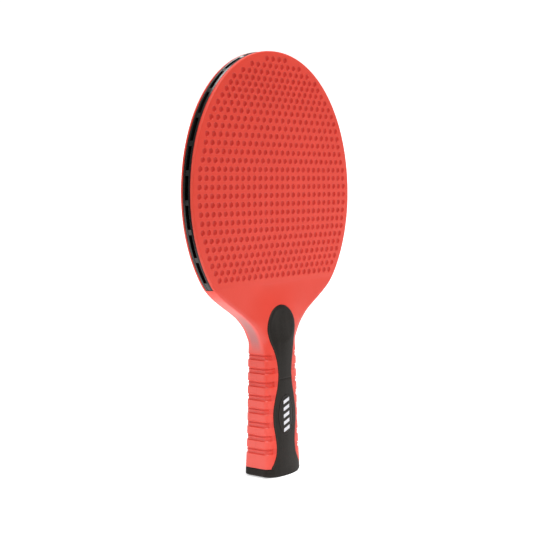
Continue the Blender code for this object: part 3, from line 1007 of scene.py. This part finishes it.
    def _blank(self) -> Piece:
        """The cover as a solid half paddle, closed at the parting."""
        levels = self._levels()
        rows = [self._section(z) for z in levels]
        columns = len(rows[0])
        profile = self.wall_columns + self.round_columns
        points, faces = [], []
        grid = []
        for z, row in zip(levels, rows):
            right = [len(points) + i for i in range(columns)]
            points += [(x, y, z) for x, y in row]
            left = [len(points) + i for i in range(columns - 1)]
            points += [(-x, y, z) for x, y in row[:-1]]
            grid.append(right + left[::-1])
        for low, high in zip(grid, grid[1:]):
            for i in range(len(low) - 1):
                faces.append((low[i], low[i + 1], high[i + 1], high[i]))
        top = grid[-1]
        rim = OUTLINE[OUTLINE[:, 1] > SHAPE.slot_end_z + 0.4][::-1]
        rim = np.vstack([rim, rim[:-1][::-1] * [-1, 1]])
        along = np.gradient(rim, axis=0)
        inward = np.c_[-along[:, 1], along[:, 0]] / np.hypot(along[:, 0], along[:, 1])[:, None]
        first_row = rows[-1]
        wall = [y for _, y in first_row[:self.wall_columns]]
        radius = self.edge_radius
        turns = np.linspace(0, math.pi / 2, self.round_columns + 1)[1:]
        rings = [top[:profile]]
        for (x, z), (nx, nz) in zip(rim, inward):
            ring = [len(points) + i for i in range(profile)]
            points += [(x, y, z) for y in wall]
            for turn in turns:
                step = radius * (1 - math.cos(turn))
                points.append((x + nx * step, wall[-1] - radius * math.sin(turn), z + nz * step))
            rings.append(ring)
        rings.append(top[::-1][:profile])
        for low, high in zip(rings, rings[1:]):
            for i in range(profile - 1):
                faces.append((low[i], low[i + 1], high[i + 1], high[i]))
        rims = [ring[-1] for ring in rings]
        middle = len(rims) // 2
        faces.append([rims[0], rims[1], rims[-2], rims[-1], *top[profile:len(top) - profile][::-1]])
        for i in range(1, middle):
            faces.append(list(dict.fromkeys((rims[i], rims[i + 1], rims[-i - 2], rims[-i - 1]))))
        border = [row[0] for row in grid] + [ring[0] for ring in rings[1:-1]]
        faces.append(border + [row[-1] for row in grid[::-1]])
        faces.append(grid[0])
        return new_piece("front_cover_skin", points, faces)

    def _hollow(self, cover: Piece) -> None:
        """Cuts the rooms for the core, the handle scale and the inlay."""
        reach = SHAPE.blade_half_width + 10
        cavity = SHAPE.core_half + SHAPE.gap
        low, high = (-reach, -cavity, SHAPE.slot_end_z), (reach, reach, SHAPE.length + 10)
        carve(cover, brick("core_room", low, high))
        heights = np.linspace(60, SHAPE.slot_end_z - SHAPE.gap, 26)
        neck = [(core_half_width(z) + NECK_CLEARANCE, z) for z in heights]
        neck.append((float(SHAPE.half_width(SHAPE.slot_end_z)) - SHAPE.wall, SHAPE.slot_end_z + 0.5))
        carve(cover, prism("neck_room", mirrored(neck), -cavity, reach))
        sections = []
        room_top = SHAPE.scale_top_z + SHAPE.gap
        for z in (SHAPE.foot_z - 3, SHAPE.foot_z, 20, 40, 60, 72, 80, 84, 88, 92, 96, 100, room_top):
            sections.append(flat_section(max(z, SHAPE.foot_z), SHAPE.wall, z))
        carve(cover, loft("scale_room", sections))
        carve(cover, prism("inlay_room", inlay_outline(0.12, SHAPE.foot_z - 3), -reach, 1))

    def _dimple_seats(self) -> Seats:
        """The dimples' centres, row by row, evenly spaced about the middle."""
        seats = Seats()
        for row, count in enumerate(self.dimple_counts):
            z = smooth_through(self.row_heights, row, free_ends=True)
            step = smooth_through(self.row_steps, row, free_ends=True)
            for i in range(count):
                seats.add(((i - (count - 1) / 2) * step, -SHAPE.slab_half, z))
        return seats

    def _dimple_cutter(self) -> Piece:
        """One dimple as a solid: soft rim, sloped wall and flat floor, its mouth on the origin's plane."""
        radius = self.dimple_radius
        rings = (
            (radius + 0.38, -0.4), (radius + 0.04, 0.04), (radius - 0.08, 0.18), (radius - 0.24, 0.50),
            (radius - 0.50, self.dimple_depth),
        )
        angles = np.arange(self.dimple_sides) * 2 * math.pi / self.dimple_sides
        sections = [[(r * math.cos(a), y, r * math.sin(a)) for a in angles] for r, y in rings]
        return loft("dimple_cutter", sections)

    def _mark_wear_and_shade(self, mesh: Mesh) -> None:
        """Writes the attributes that the finish reads: recess, for painted shade in the dimples and grooves;
        rub along the edge; polish, a coat along the sides and neck; and painted shade down the neck's side
        wall.
        """
        co = np.empty(len(mesh.vertices) * 3, np.float32)
        mesh.vertices.foreach_get("co", co)
        x, y, z = (co.reshape(-1, 3) / MM).T
        depth = SHAPE.slab_half + y
        blade = z > SHAPE.slot_end_z + 3
        width = SHAPE.half_width(z)
        inside = (width - np.abs(x) > 2.5) & (SHAPE.length - z > 2.5)
        # Painted shade: the deeper a point sits in a dimple, the darker it is painted.
        recess = np.where(blade & inside & (depth > 0.03) & (depth < 0.7), depth / self.dimple_depth, 0)
        recess = np.clip(recess, 0, 1)
        # Painted shade on the floors of the grooves.
        for low, high in self._groove_bands():
            inner = (z > low + 0.3) & (z < high - 0.3)
            recess = np.where(inner & (np.abs(x) > SHAPE.butt_half_width * 0.3), 0.5, recess)
        rub = np.where(blade & ~inside & (depth > 0.1) & (depth < 1.2), 0.5, 0)
        side = np.clip(1 - (width - np.abs(x)) / self.polish_band, 0, 1)
        side = side * np.clip((SHAPE.slot_end_z - z) / self.polish_fade, 0, 1)
        # The neck's side wall, which gets a coat and a painted shade.
        neck = np.clip((z - 74) / 8, 0, 1) * np.clip((104 - z) / 12, 0, 1) * np.clip((4.2 + y) / 2, 0, 1)
        layers = {
            "recess": recess,
            "rub": rub,
            "polish": side * (self.side_polish + self.neck_polish * neck),
            # Painted shade down the side of the neck.
            "burnish": side * neck * self.neck_shade_share,
        }
        for name, values in layers.items():
            layer = mesh.attributes.new(name, "FLOAT", "POINT")
            layer.data.foreach_set("value", values.astype(np.float32))


NECK_CLEARANCE = 0.6
TANG_HALF_WIDTH = 9.0
TANG_END_Z = 3.0


def core_half_width(z: float) -> float:
    """The core's half-width: the blade inside the covers, then the neck, then the tang."""
    if z >= SHAPE.slot_end_z:
        return float(SHAPE.half_width(z)) - SHAPE.gap
    wide = float(SHAPE.half_width(z)) - SHAPE.wall - NECK_CLEARANCE
    share = min(max((z - 80) / 16, 0.0), 1.0)
    return TANG_HALF_WIDTH + (wide - TANG_HALF_WIDTH) * share**2 * (3 - 2 * share)


def mirrored(right: Points) -> list[tuple[float, float]]:
    """A closed outline from its right half, given from its foot to its top."""
    right = [tuple(point) for point in right]
    return right + [(-x, z) for x, z in reversed(right) if x > 1e-9]


def flat_section(z: float, inset: float, height: float) -> list[Triple]:
    """The paddle's whole section at z, pulled in by inset and placed at a height."""
    width = float(SHAPE.half_width(z))
    turns = np.linspace(-math.pi / 2, math.pi / 2, 25)
    x = width * np.sin(turns)
    y = -(SHAPE.half_depth(x, z) - inset)
    x = x * (width - inset) / width
    front = [(a, b, height) for a, b in zip(x, y)]
    return front + [(a, -b, height) for a, b, _ in reversed(front)]


def inlay_outline(extra: float, foot: float) -> list[tuple[float, float]]:
    """The inlay's outline in XZ, grown by extra, with its foot at a height."""
    pad_z, pad_half = SHAPE.inlay_profile[-1]
    heights = [SHAPE.foot_z, *np.arange(6.4, pad_z, 1.2)]
    side = [(SHAPE.inlay_half_width(SHAPE.foot_z) + extra, foot)] if foot < SHAPE.foot_z else []
    side += [(SHAPE.inlay_half_width(z) + extra, z) for z in heights]
    rise = SHAPE.inlay_top_z - pad_z + extra
    for turn in np.linspace(0, math.pi / 2, 25):
        side.append(((pad_half + extra) * math.cos(turn), pad_z + rise * math.sin(turn)))
    side[-1] = (0.0, side[-1][1])
    return mirrored(side)


# ---------------------------------------------------------------- core


@dataclass
class Core:
    """The black core between the covers: a tray with windows round its rim, and the lid welded over it."""

    finishes: Finishes
    pockets: PocketField
    plate: float = 1.3
    windows: int = 21
    bridge_spacing: float = math.radians(12.4)
    bridge_width: float = 3.0
    window_depth: float = 8.0
    cell_flats: float = 19.0
    cell_wall: float = 1.6
    cell_margin: float = 10.5
    chamfer_depth: float = 0.8
    chamfer_height: float = 1.2
    rear_bevel: float = 0.2
    setback: float = 0.06

    def build(self) -> None:
        """Builds the tray and the lid, and mounts both."""
        half = SHAPE.core_half
        tray = self._plate("core_tray_moulding", -half, half - self.plate - SHAPE.gap, (True, False))
        self.pockets.sink(tray, self._window_seats(), self._window_cutter(), self.finishes.core)
        self.pockets.sink(tray, self._cell_seats(), self._cell_cutter(), self.finishes.core)
        lid = self._plate("core_lid_moulding", half - self.plate, half, (False, True))
        for piece, node in ((tray, "core_tray"), (lid, "core_lid")):
            face_outwards(piece.data)
            finish_mesh(piece, self.finishes.core, 30)
            mount_piece(piece, "core_black", node)

    def _outline(self, inset: float) -> list[tuple[float, float]]:
        """The core's outline in XZ, pulled in by inset along the blade's edge."""
        heights = (TANG_END_Z, 60, *np.linspace(80, SHAPE.slot_end_z - SHAPE.gap, 20))
        side = [(core_half_width(z), z) for z in heights]
        slot = SHAPE.slot_end_z + SHAPE.gap
        width = float(SHAPE.half_width(slot))
        side += [(width - SHAPE.wall - NECK_CLEARANCE, slot), (width - self.setback - inset, slot)]
        rim = OUTLINE[OUTLINE[:, 1] > slot + 0.8][::-1]
        along = np.gradient(rim, axis=0)
        inward = np.c_[-along[:, 1], along[:, 0]] / np.hypot(along[:, 0], along[:, 1])[:, None]
        moved = rim + inward * (self.setback + inset)
        moved[-1, 0] = 0.0
        side += [tuple(point) for point in moved]
        return mirrored(side)

    def _plate(self, name: str, low: float, high: float, bevelled: tuple[bool, bool]) -> Piece:
        """A plate of the core's outline between two depths, its front chamfered or its rear rounded."""
        steps = [(low, 0.0), (high, 0.0)]
        turns = [(1 - math.cos(t), 1 - math.sin(t)) for t in np.linspace(0, math.pi / 2, 5)]
        if bevelled[0]:
            steps = [(low, self.chamfer_depth), (low + self.chamfer_height, 0.0)] + steps[1:]
        if bevelled[1]:
            rounding = [(high - self.rear_bevel * a, self.rear_bevel * b) for a, b in reversed(turns)]
            steps = steps[:-1] + rounding
        return loft(name, [[(x, y, z) for x, z in self._outline(inset)] for y, inset in steps])

    def _window_seats(self) -> Seats:
        """The middle of each window on the rim, turned to face out and sized to fit between its bridges."""
        rim = OUTLINE[OUTLINE[:, 1] > SHAPE.slot_end_z][::-1]
        whole = np.vstack([rim, rim[:-1][::-1] * [-1, 1]])
        lengths = np.r_[0, np.cumsum(np.hypot(*np.diff(whole, axis=0).T))]
        angles = np.unwrap(np.arctan2(whole[:, 1] - SHAPE.blade_centre_z, whole[:, 0]))
        bridges = math.pi / 2 + (np.arange(self.windows + 1) - self.windows / 2) * self.bridge_spacing
        centres = np.interp(bridges, angles, lengths)
        seats = Seats()
        for low, high in zip(centres, centres[1:]):
            middle = (low + high) / 2
            spots = [[np.interp(middle + d, lengths, whole[:, k]) for k in (0, 1)] for d in (-1, 0, 1)]
            along = Vector((spots[2][0] - spots[0][0], spots[2][1] - spots[0][1]))
            turn = -math.atan2(along.y, along.x)
            seats.add((spots[1][0], 0.0, spots[1][1]), turn, (high - low - self.bridge_width, 1.0, 1.0))
        return seats

    def _window_cutter(self) -> Piece:
        """A pocket one unit long, open to the outside and to the lid."""
        low, high = self.plate - SHAPE.core_half, SHAPE.core_half
        return brick("window_cutter", (-0.5, low, -4.0), (0.5, high, self.window_depth))

    def _cell_seats(self) -> Seats:
        """Hexagonal cells wherever a whole one fits inside the rim."""
        pitch = self.cell_flats + self.cell_wall
        corner = self.cell_flats / math.sqrt(3)
        seats = Seats()
        for row in range(-4, 5):
            for column in range(-4, 5):
                x = (column + (row % 2) / 2) * pitch
                z = SHAPE.blade_centre_z + row * pitch * math.sqrt(3) / 2
                turns = np.arange(6) * math.pi / 3
                ends = [(x + corner * math.sin(a), z + corner * math.cos(a)) for a in turns]
                low, high = SHAPE.slot_end_z, SHAPE.length - self.cell_margin
                if all(abs(a) < SHAPE.half_width(b) - self.cell_margin and low < b < high for a, b in ends):
                    seats.add((x, 0.0, z))
        return seats

    def _cell_cutter(self) -> Piece:
        """One hexagonal cell, open to the lid."""
        corner = self.cell_flats / math.sqrt(3)
        outline = [(corner * math.sin(a), corner * math.cos(a)) for a in np.arange(6) * math.pi / 3]
        return prism("cell_cutter", outline, self.plate - SHAPE.core_half, SHAPE.core_half)


# ---------------------------------------------------------------- handle pieces


@dataclass
class Inlay:
    """The black inlay on the handle's crown, with a bevelled rim and a dished thumb pad."""

    finishes: Finishes
    proud: float = 0.38
    thickness: float = 1.9
    pad_dish: float = 0.75
    rim_curve: Points = ((0.0, -0.35), (0.12, 0.0), (0.45, 0.26), (0.8, 0.36), (1.3, 0.38))
    badge_seat: float = 1.5
    ridge_z: float = 58.3
    badge_z: float = 36.5
    badge_axes: tuple[float, float] = (7.2, 12.0)

    def build(self) -> None:
        """Builds the front inlay and its rear copy, and mounts both."""
        front = self._shell()
        finish_mesh(front, self.finishes.grip, 50)
        mount_pair(front, "grip_black", "inlay_moulding", "inlay")

    def lift(self, x: np.ndarray, z: float) -> np.ndarray:
        """How far the inlay's face stands above the handle's surface."""
        pad_z, pad_half = SHAPE.inlay_profile[-1]
        width = SHAPE.inlay_half_width(z)
        slope = abs(SHAPE.inlay_half_width(min(z + 0.5, pad_z)) - SHAPE.inlay_half_width(min(z - 0.5, pad_z)))
        edge = (width - np.abs(x)) / math.sqrt(1 + slope**2)
        if z > pad_z:
            rise = SHAPE.inlay_top_z - pad_z
            edge = (1 - np.hypot(x / pad_half, (z - pad_z) / rise)) * pad_half
        level = np.interp(edge, *zip(*self.rim_curve)) / self.rim_curve[-1][1] * self.proud
        radius = np.hypot(x / 10.6, (z - 90.0) / 10.0)
        dish = self.pad_dish * np.clip(1 - radius**2, 0, 1) ** 0.8
        groove = 0.25 * math.exp(-(((z - self.ridge_z) / 0.35) ** 2)) * (edge > 0.8)
        return level - dish - groove

    def _heights(self) -> list[float]:
        """Heights for the inlay's rows, closing up at its top, its foot and the ridge across its waist."""
        pad_z = SHAPE.inlay_profile[-1][0]
        heights = list(np.arange(SHAPE.cap_height + 0.01, pad_z, 0.75))
        heights += [self.ridge_z + step for step in (-1.1, -0.5, -0.2, 0.0, 0.2, 0.5, 1.1)]
        rise = SHAPE.inlay_top_z - pad_z
        heights += [pad_z + rise * math.sin(t) for t in np.linspace(0, math.pi / 2, 30)[:-1]]
        return sorted(set(round(h, 3) for h in heights))

    def _shell(self) -> Piece:
        """The inlay as a closed shell: face, rim and back."""
        edge_steps = np.array([0.0, 0.1, 0.25, 0.45, 0.65, 0.9, 1.3])
        points, faces = [], []
        rows = []
        for z in self._heights():
            width = max(SHAPE.inlay_half_width(max(z, SHAPE.foot_z)), 0.3)
            steps = edge_steps * min(1.0, width / 3)
            right = np.r_[steps, np.linspace(steps[-1], width, 12)[1:]]
            x = np.r_[-(width - right), (width - right)[::-1][1:]]
            y = -(SHAPE.half_depth(x, z) + self.lift(x, z))
            face = [len(points) + i for i in range(len(x))]
            points += [(a, b, z) for a, b in zip(x, y)]
            back = [len(points) + i for i in range(len(x))]
            points += [(a, -(d - self.thickness), z) for a, d in zip(x, SHAPE.half_depth(x, z))]
            rows.append(face + back[::-1])
        for low, high in zip(rows, rows[1:]):
            for i in range(len(low)):
                j = (i + 1) % len(low)
                faces.append((low[i], low[j], high[j], high[i]))
        faces += [rows[0], rows[-1]]
        shell = new_piece("front_inlay_moulding", points, faces)
        room = prism("badge_room", self.badge_outline(0.12), -30, -SHAPE.slab_half)
        heights = np.linspace(self.badge_z - 18, self.badge_z + 18, 10)
        carve(room, loft("badge_floor", [flat_section(z, self.badge_seat, z) for z in heights]))
        carve(shell, room)
        face_outwards(shell.data)
        self._mark_rub(shell.data)
        return shell

    def badge_outline(self, extra: float) -> list[tuple[float, float]]:
        """The badge's oval in XZ, grown by extra."""
        wide, tall = (axis + extra for axis in self.badge_axes)
        return [(wide * math.cos(a), self.badge_z + tall * math.sin(a)) for a in np.arange(64) * math.pi / 32]

    def _mark_rub(self, mesh: Mesh) -> None:
        """Writes where the rim is rubbed paler."""
        co = np.empty(len(mesh.vertices) * 3, np.float32)
        mesh.vertices.foreach_get("co", co)
        rub = np.zeros(len(mesh.vertices), np.float32)
        for i, (x, y, z) in enumerate(co.reshape(-1, 3) / MM):
            edge = SHAPE.inlay_half_width(max(z, SHAPE.foot_z)) - abs(x)
            if 0.2 < edge < 1.0 and z < SHAPE.inlay_top_z - 1 and -y > SHAPE.half_depth(x, z) - 0.2:
                rub[i] = 0.35
        layer = mesh.attributes.new("rub", "FLOAT", "POINT")
        layer.data.foreach_set("value", rub)


@dataclass
class Badge:
    """The oval badge in the inlay, with a stepped rim and a mark of five slanted bars."""

    finishes: Finishes
    inlay: Inlay
    proud: float = 0.3
    bars: int = 5
    bar_pitch: float = 4.2
    bar_length: float = 5.4
    bar_width: float = 2.1
    bar_slant: float = 0.32

    def build(self) -> None:
        """Builds both badges and both marks, and mounts them."""
        front = self._oval()
        finish_mesh(front, self.finishes.badge, 50)
        mount_pair(front, "badge_black", "badge_moulding", "badge")
        mark = self._mark()
        finish_mesh(mark, self.finishes.white, 50)
        mount_pair(mark, None, "badge_mark")

    def surface(self, x: float, z: float) -> float:
        """The depth of the badge's face in front of the mid-plane."""
        return float(SHAPE.half_depth(x, z)) + self.inlay.proud + self.proud

    def _oval(self) -> Piece:
        """The badge as a closed shell of rings from its back to its middle."""
        wide, tall = self.inlay.badge_axes
        steps = (
            (0.0, -1.6), (0.0, -0.35), (0.12, -0.12), (0.35, 0.0), (0.75, 0.0), (0.95, -0.14),
            (1.25, -0.14), (1.5, -0.05),
        )
        turns = np.arange(72) * 2 * math.pi / 72
        rings = []
        for inset, level in steps:
            rings.append([self._spot(wide - inset, tall - inset, t, level) for t in turns])
        for share in (0.75, 0.5, 0.25):
            rings.append([self._spot((wide - 1.5) * share, (tall - 1.5) * share, t, -0.05) for t in turns])
        badge = loft("front_badge_moulding", rings)
        face_outwards(badge.data)
        return badge

    def _spot(self, wide: float, tall: float, turn: float, level: float) -> Triple:
        """A point on the badge at an angle round an oval."""
        x, z = wide * math.cos(turn), self.inlay.badge_z + tall * math.sin(turn)
        return (x, -(self.surface(x, z) + level), z)

    def _mark(self) -> Piece:
        """Five slanted bars of print, laid on the badge's face."""
        points, faces = [], []
        for bar in range(self.bars):
            z0 = self.inlay.badge_z + (bar - (self.bars - 1) / 2) * self.bar_pitch
            start = len(points)
            across = np.linspace(-0.5, 0.5, 9)
            for level in (0.035, -0.2):
                for u in across:
                    for v in (-0.5, 0.5):
                        x = u * self.bar_length
                        z = z0 + v * self.bar_width + self.bar_slant * x
                        points.append((x, -(self.surface(x, z) - 0.05 + level), z))
            count = len(across)
            for i in range(count - 1):
                a, b = start + 2 * i, start + 2 * (i + 1)
                c, d = a + 2 * count, b + 2 * count
                faces += [(a, b, b + 1, a + 1), (c, c + 1, d + 1, d)]
                faces += [(a, c, d, b), (a + 1, b + 1, d + 1, c + 1)]
            for i in (0, count - 1):
                a, c = start + 2 * i, start + 2 * (i + count)
                faces.append((a, a + 1, c + 1, c))
        return new_piece("front_badge_mark", points, faces)


@dataclass
class ButtCap:
    """The black cap on the butt, with a rounded rim and a flat end."""

    finishes: Finishes
    rim_rise: float = 2.1
    rim_reach: float = 5.5
    rim_power: float = 1.3
    proud: float = 0.38

    def build(self) -> None:
        """Builds the cap and mounts it."""
        turns = np.linspace(0, math.pi / 2, 8)
        steps = []
        for t in turns:
            inset = self.rim_reach * (1 - math.sin(t)) ** self.rim_power
            steps.append((self.rim_rise * (1 - math.cos(t)), inset))
        sections = [self._section(z, inset) for z, inset in steps]
        sections += [self._section(z, 0.0) for z in (3.0, 4.2, SHAPE.cap_height)]
        cap = loft("butt_cap_moulding", sections)
        finish_mesh(cap, self.finishes.grip, 50)
        mount_piece(cap, "grip_black", "butt_cap")

    def _section(self, z: float, inset: float) -> list[Triple]:
        """The cap's section at a height, pulled in by inset at its sides."""
        width = float(SHAPE.half_width(z))
        x = width * (1 - np.linspace(0, 1, 500) ** 2.6)
        meeting = np.clip((SHAPE.inlay_half_width(SHAPE.foot_z) - x) / 1.2, 0, 1)
        y = SHAPE.half_depth(x, z) + self.proud * meeting**2 * (3 - 2 * meeting)
        x, y = np.r_[width, x], np.r_[0.0, y]
        lengths = np.r_[0, np.cumsum(np.hypot(np.diff(x), np.diff(y)))]
        places = np.linspace(0, lengths[-1], 30)
        quarter = np.c_[np.interp(places, lengths, x), np.interp(places, lengths, y)]
        quarter = quarter * [1 - inset / width, 1.0]
        first = [(a, -b) for a, b in quarter]
        second = [(-a, -b) for a, b in quarter[::-1][1:]]
        third = [(-a, b) for a, b in quarter[1:]]
        fourth = [(a, b) for a, b in quarter[::-1][1:-1]]
        return [(a, b, z) for a, b in first + second + third + fourth]


@dataclass
class Fastening:
    """The CAD's hidden handle scales and screws, kept and given better finishes."""

    finishes: Finishes
    scales: tuple[str, ...] = ("front_scale", "rear_scale")
    screws: tuple[str, ...] = ("handle_screw_1", "handle_screw_2", "handle_screw_3")

    def build(self) -> None:
        """Dresses the CAD nodes."""
        for names, material in ((self.scales, self.finishes.core), (self.screws, self.finishes.steel)):
            for name in names:
                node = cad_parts[name]
                node.data.materials.clear()
                node.data.materials.append(material)
                log.info("%s: kept from the CAD", name)


# ---------------------------------------------------------------- studio


@dataclass(frozen=True)
class SoftBox:
    """A square soft light: its place and size in metres, and its power in watts."""

    name: str
    place: Triple
    size: float
    power: float


@dataclass
class Studio:
    """The pale floor, the soft lights and the camera."""

    finishes: Finishes
    place: Triple = (-0.5480, -0.4241, 0.1741)
    azimuth: float = 52.015
    pitch: float = -4.068
    roll: float = -0.40
    lens_mm: float = 78.35
    sensor_mm: float = 36.0
    floor_front: float = 260.0
    floor_back: float = 900.0
    floor_bend: float = 1500.0
    floor_half: float = 4200.0
    wall_height: float = 2600.0
    floor_drop: float = 0.05
    room_glow: float = 0.23
    aim: Triple = (0.0, 0.0, 0.14)
    boxes: tuple[SoftBox, ...] = (
        SoftBox("key_box", (-0.25, -0.9, 1.2), 0.35, 8.3),
        SoftBox("side_box", (-1.2, 0.2, 0.5), 0.6, 3.2),
        SoftBox("top_box", (-0.06, -0.2, 1.6), 0.5, 10.0),
        SoftBox("rear_box", (0.9, 1.3, 0.8), 1.0, 6.0),
    )

    def build(self) -> None:
        """Builds everything round the paddle."""
        self._backdrop()
        self._lights()
        self._camera()

    def _backdrop(self) -> None:
        """A floor that curves up into a wall behind the paddle."""
        away = Vector((math.sin(math.radians(self.azimuth)), math.cos(math.radians(self.azimuth)), 0))
        side = Vector((away.y, -away.x, 0))
        flat, bend = self.floor_back, self.floor_bend
        profile = [(-self.floor_front, 0.0), (flat, 0.0)]
        for turn in np.linspace(0, math.pi / 2, 24)[1:]:
            profile.append((flat + bend * math.sin(turn), bend * (1 - math.cos(turn))))
        profile.append((flat + bend, bend + self.wall_height))
        points, faces = [], []
        for reach, up in profile:
            for across in (-self.floor_half, self.floor_half):
                spot = away * reach + side * across
                points.append((spot.x, spot.y, up - self.floor_drop))
        for i in range(len(profile) - 1):
            faces.append((2 * i, 2 * i + 1, 2 * i + 3, 2 * i + 2))
        floor = new_piece("studio_floor", points, faces)
        floor.data.materials.append(self.finishes.floor)
        floor.data.shade_smooth()

    def _lights(self) -> None:
        """Soft boxes from the left, the front and above, in an even white room."""
        world = bpy.data.worlds.new("studio_room")
        world.use_nodes = True
        backdrop = world.node_tree.nodes["Background"]
        backdrop.inputs["Color"].default_value = (1, 1, 1, 1)
        backdrop.inputs["Strength"].default_value = self.room_glow
        bpy.context.scene.world = world
        for box in self.boxes:
            light = bpy.data.lights.new(box.name, "AREA")
            light.shape = "SQUARE"
            light.size = box.size
            light.energy = box.power
            lamp = bpy.data.objects.new(box.name, light)
            lamp.location = box.place
            towards = Vector(self.aim) - Vector(box.place)
            lamp.rotation_euler = towards.to_track_quat("-Z", "Y").to_euler()
            bpy.context.scene.collection.objects.link(lamp)

    def _camera(self) -> None:
        """The camera, a little to the left of the front face and just above the middle."""
        lens = bpy.data.cameras.new("view")
        lens.sensor_width = self.sensor_mm
        lens.lens = self.lens_mm
        lens.clip_start = 0.01
        camera = bpy.data.objects.new("view", lens)
        turn = Matrix.Rotation(math.radians(-self.azimuth), 4, "Z")
        tilt = Matrix.Rotation(math.radians(90 + self.pitch), 4, "X")
        roll = Matrix.Rotation(math.radians(self.roll), 4, "Z")
        camera.matrix_world = Matrix.Translation(self.place) @ turn @ tilt @ roll
        bpy.context.scene.collection.objects.link(camera)
        bpy.context.scene.camera = camera


# ---------------------------------------------------------------- main


def main() -> None:
    """Builds the paddle's pieces in order, then the studio round them."""
    logging.basicConfig(level=logging.INFO, format="%(name)s %(message)s")
    bpy.context.scene.view_settings.view_transform = "Standard"
    finishes = Finishes(Effects())
    pockets = PocketField()
    inlay = Inlay(finishes)
    assemblies = (
        Core(finishes, pockets),
        Cover(finishes, pockets),
        inlay,
        Badge(finishes, inlay),
        ButtCap(finishes),
        Fastening(finishes),
        Studio(finishes),
    )
    for assembly in assemblies:
        assembly.build()
        log.info("%s built", type(assembly).__name__)


if __name__ == "__main__":
    main()
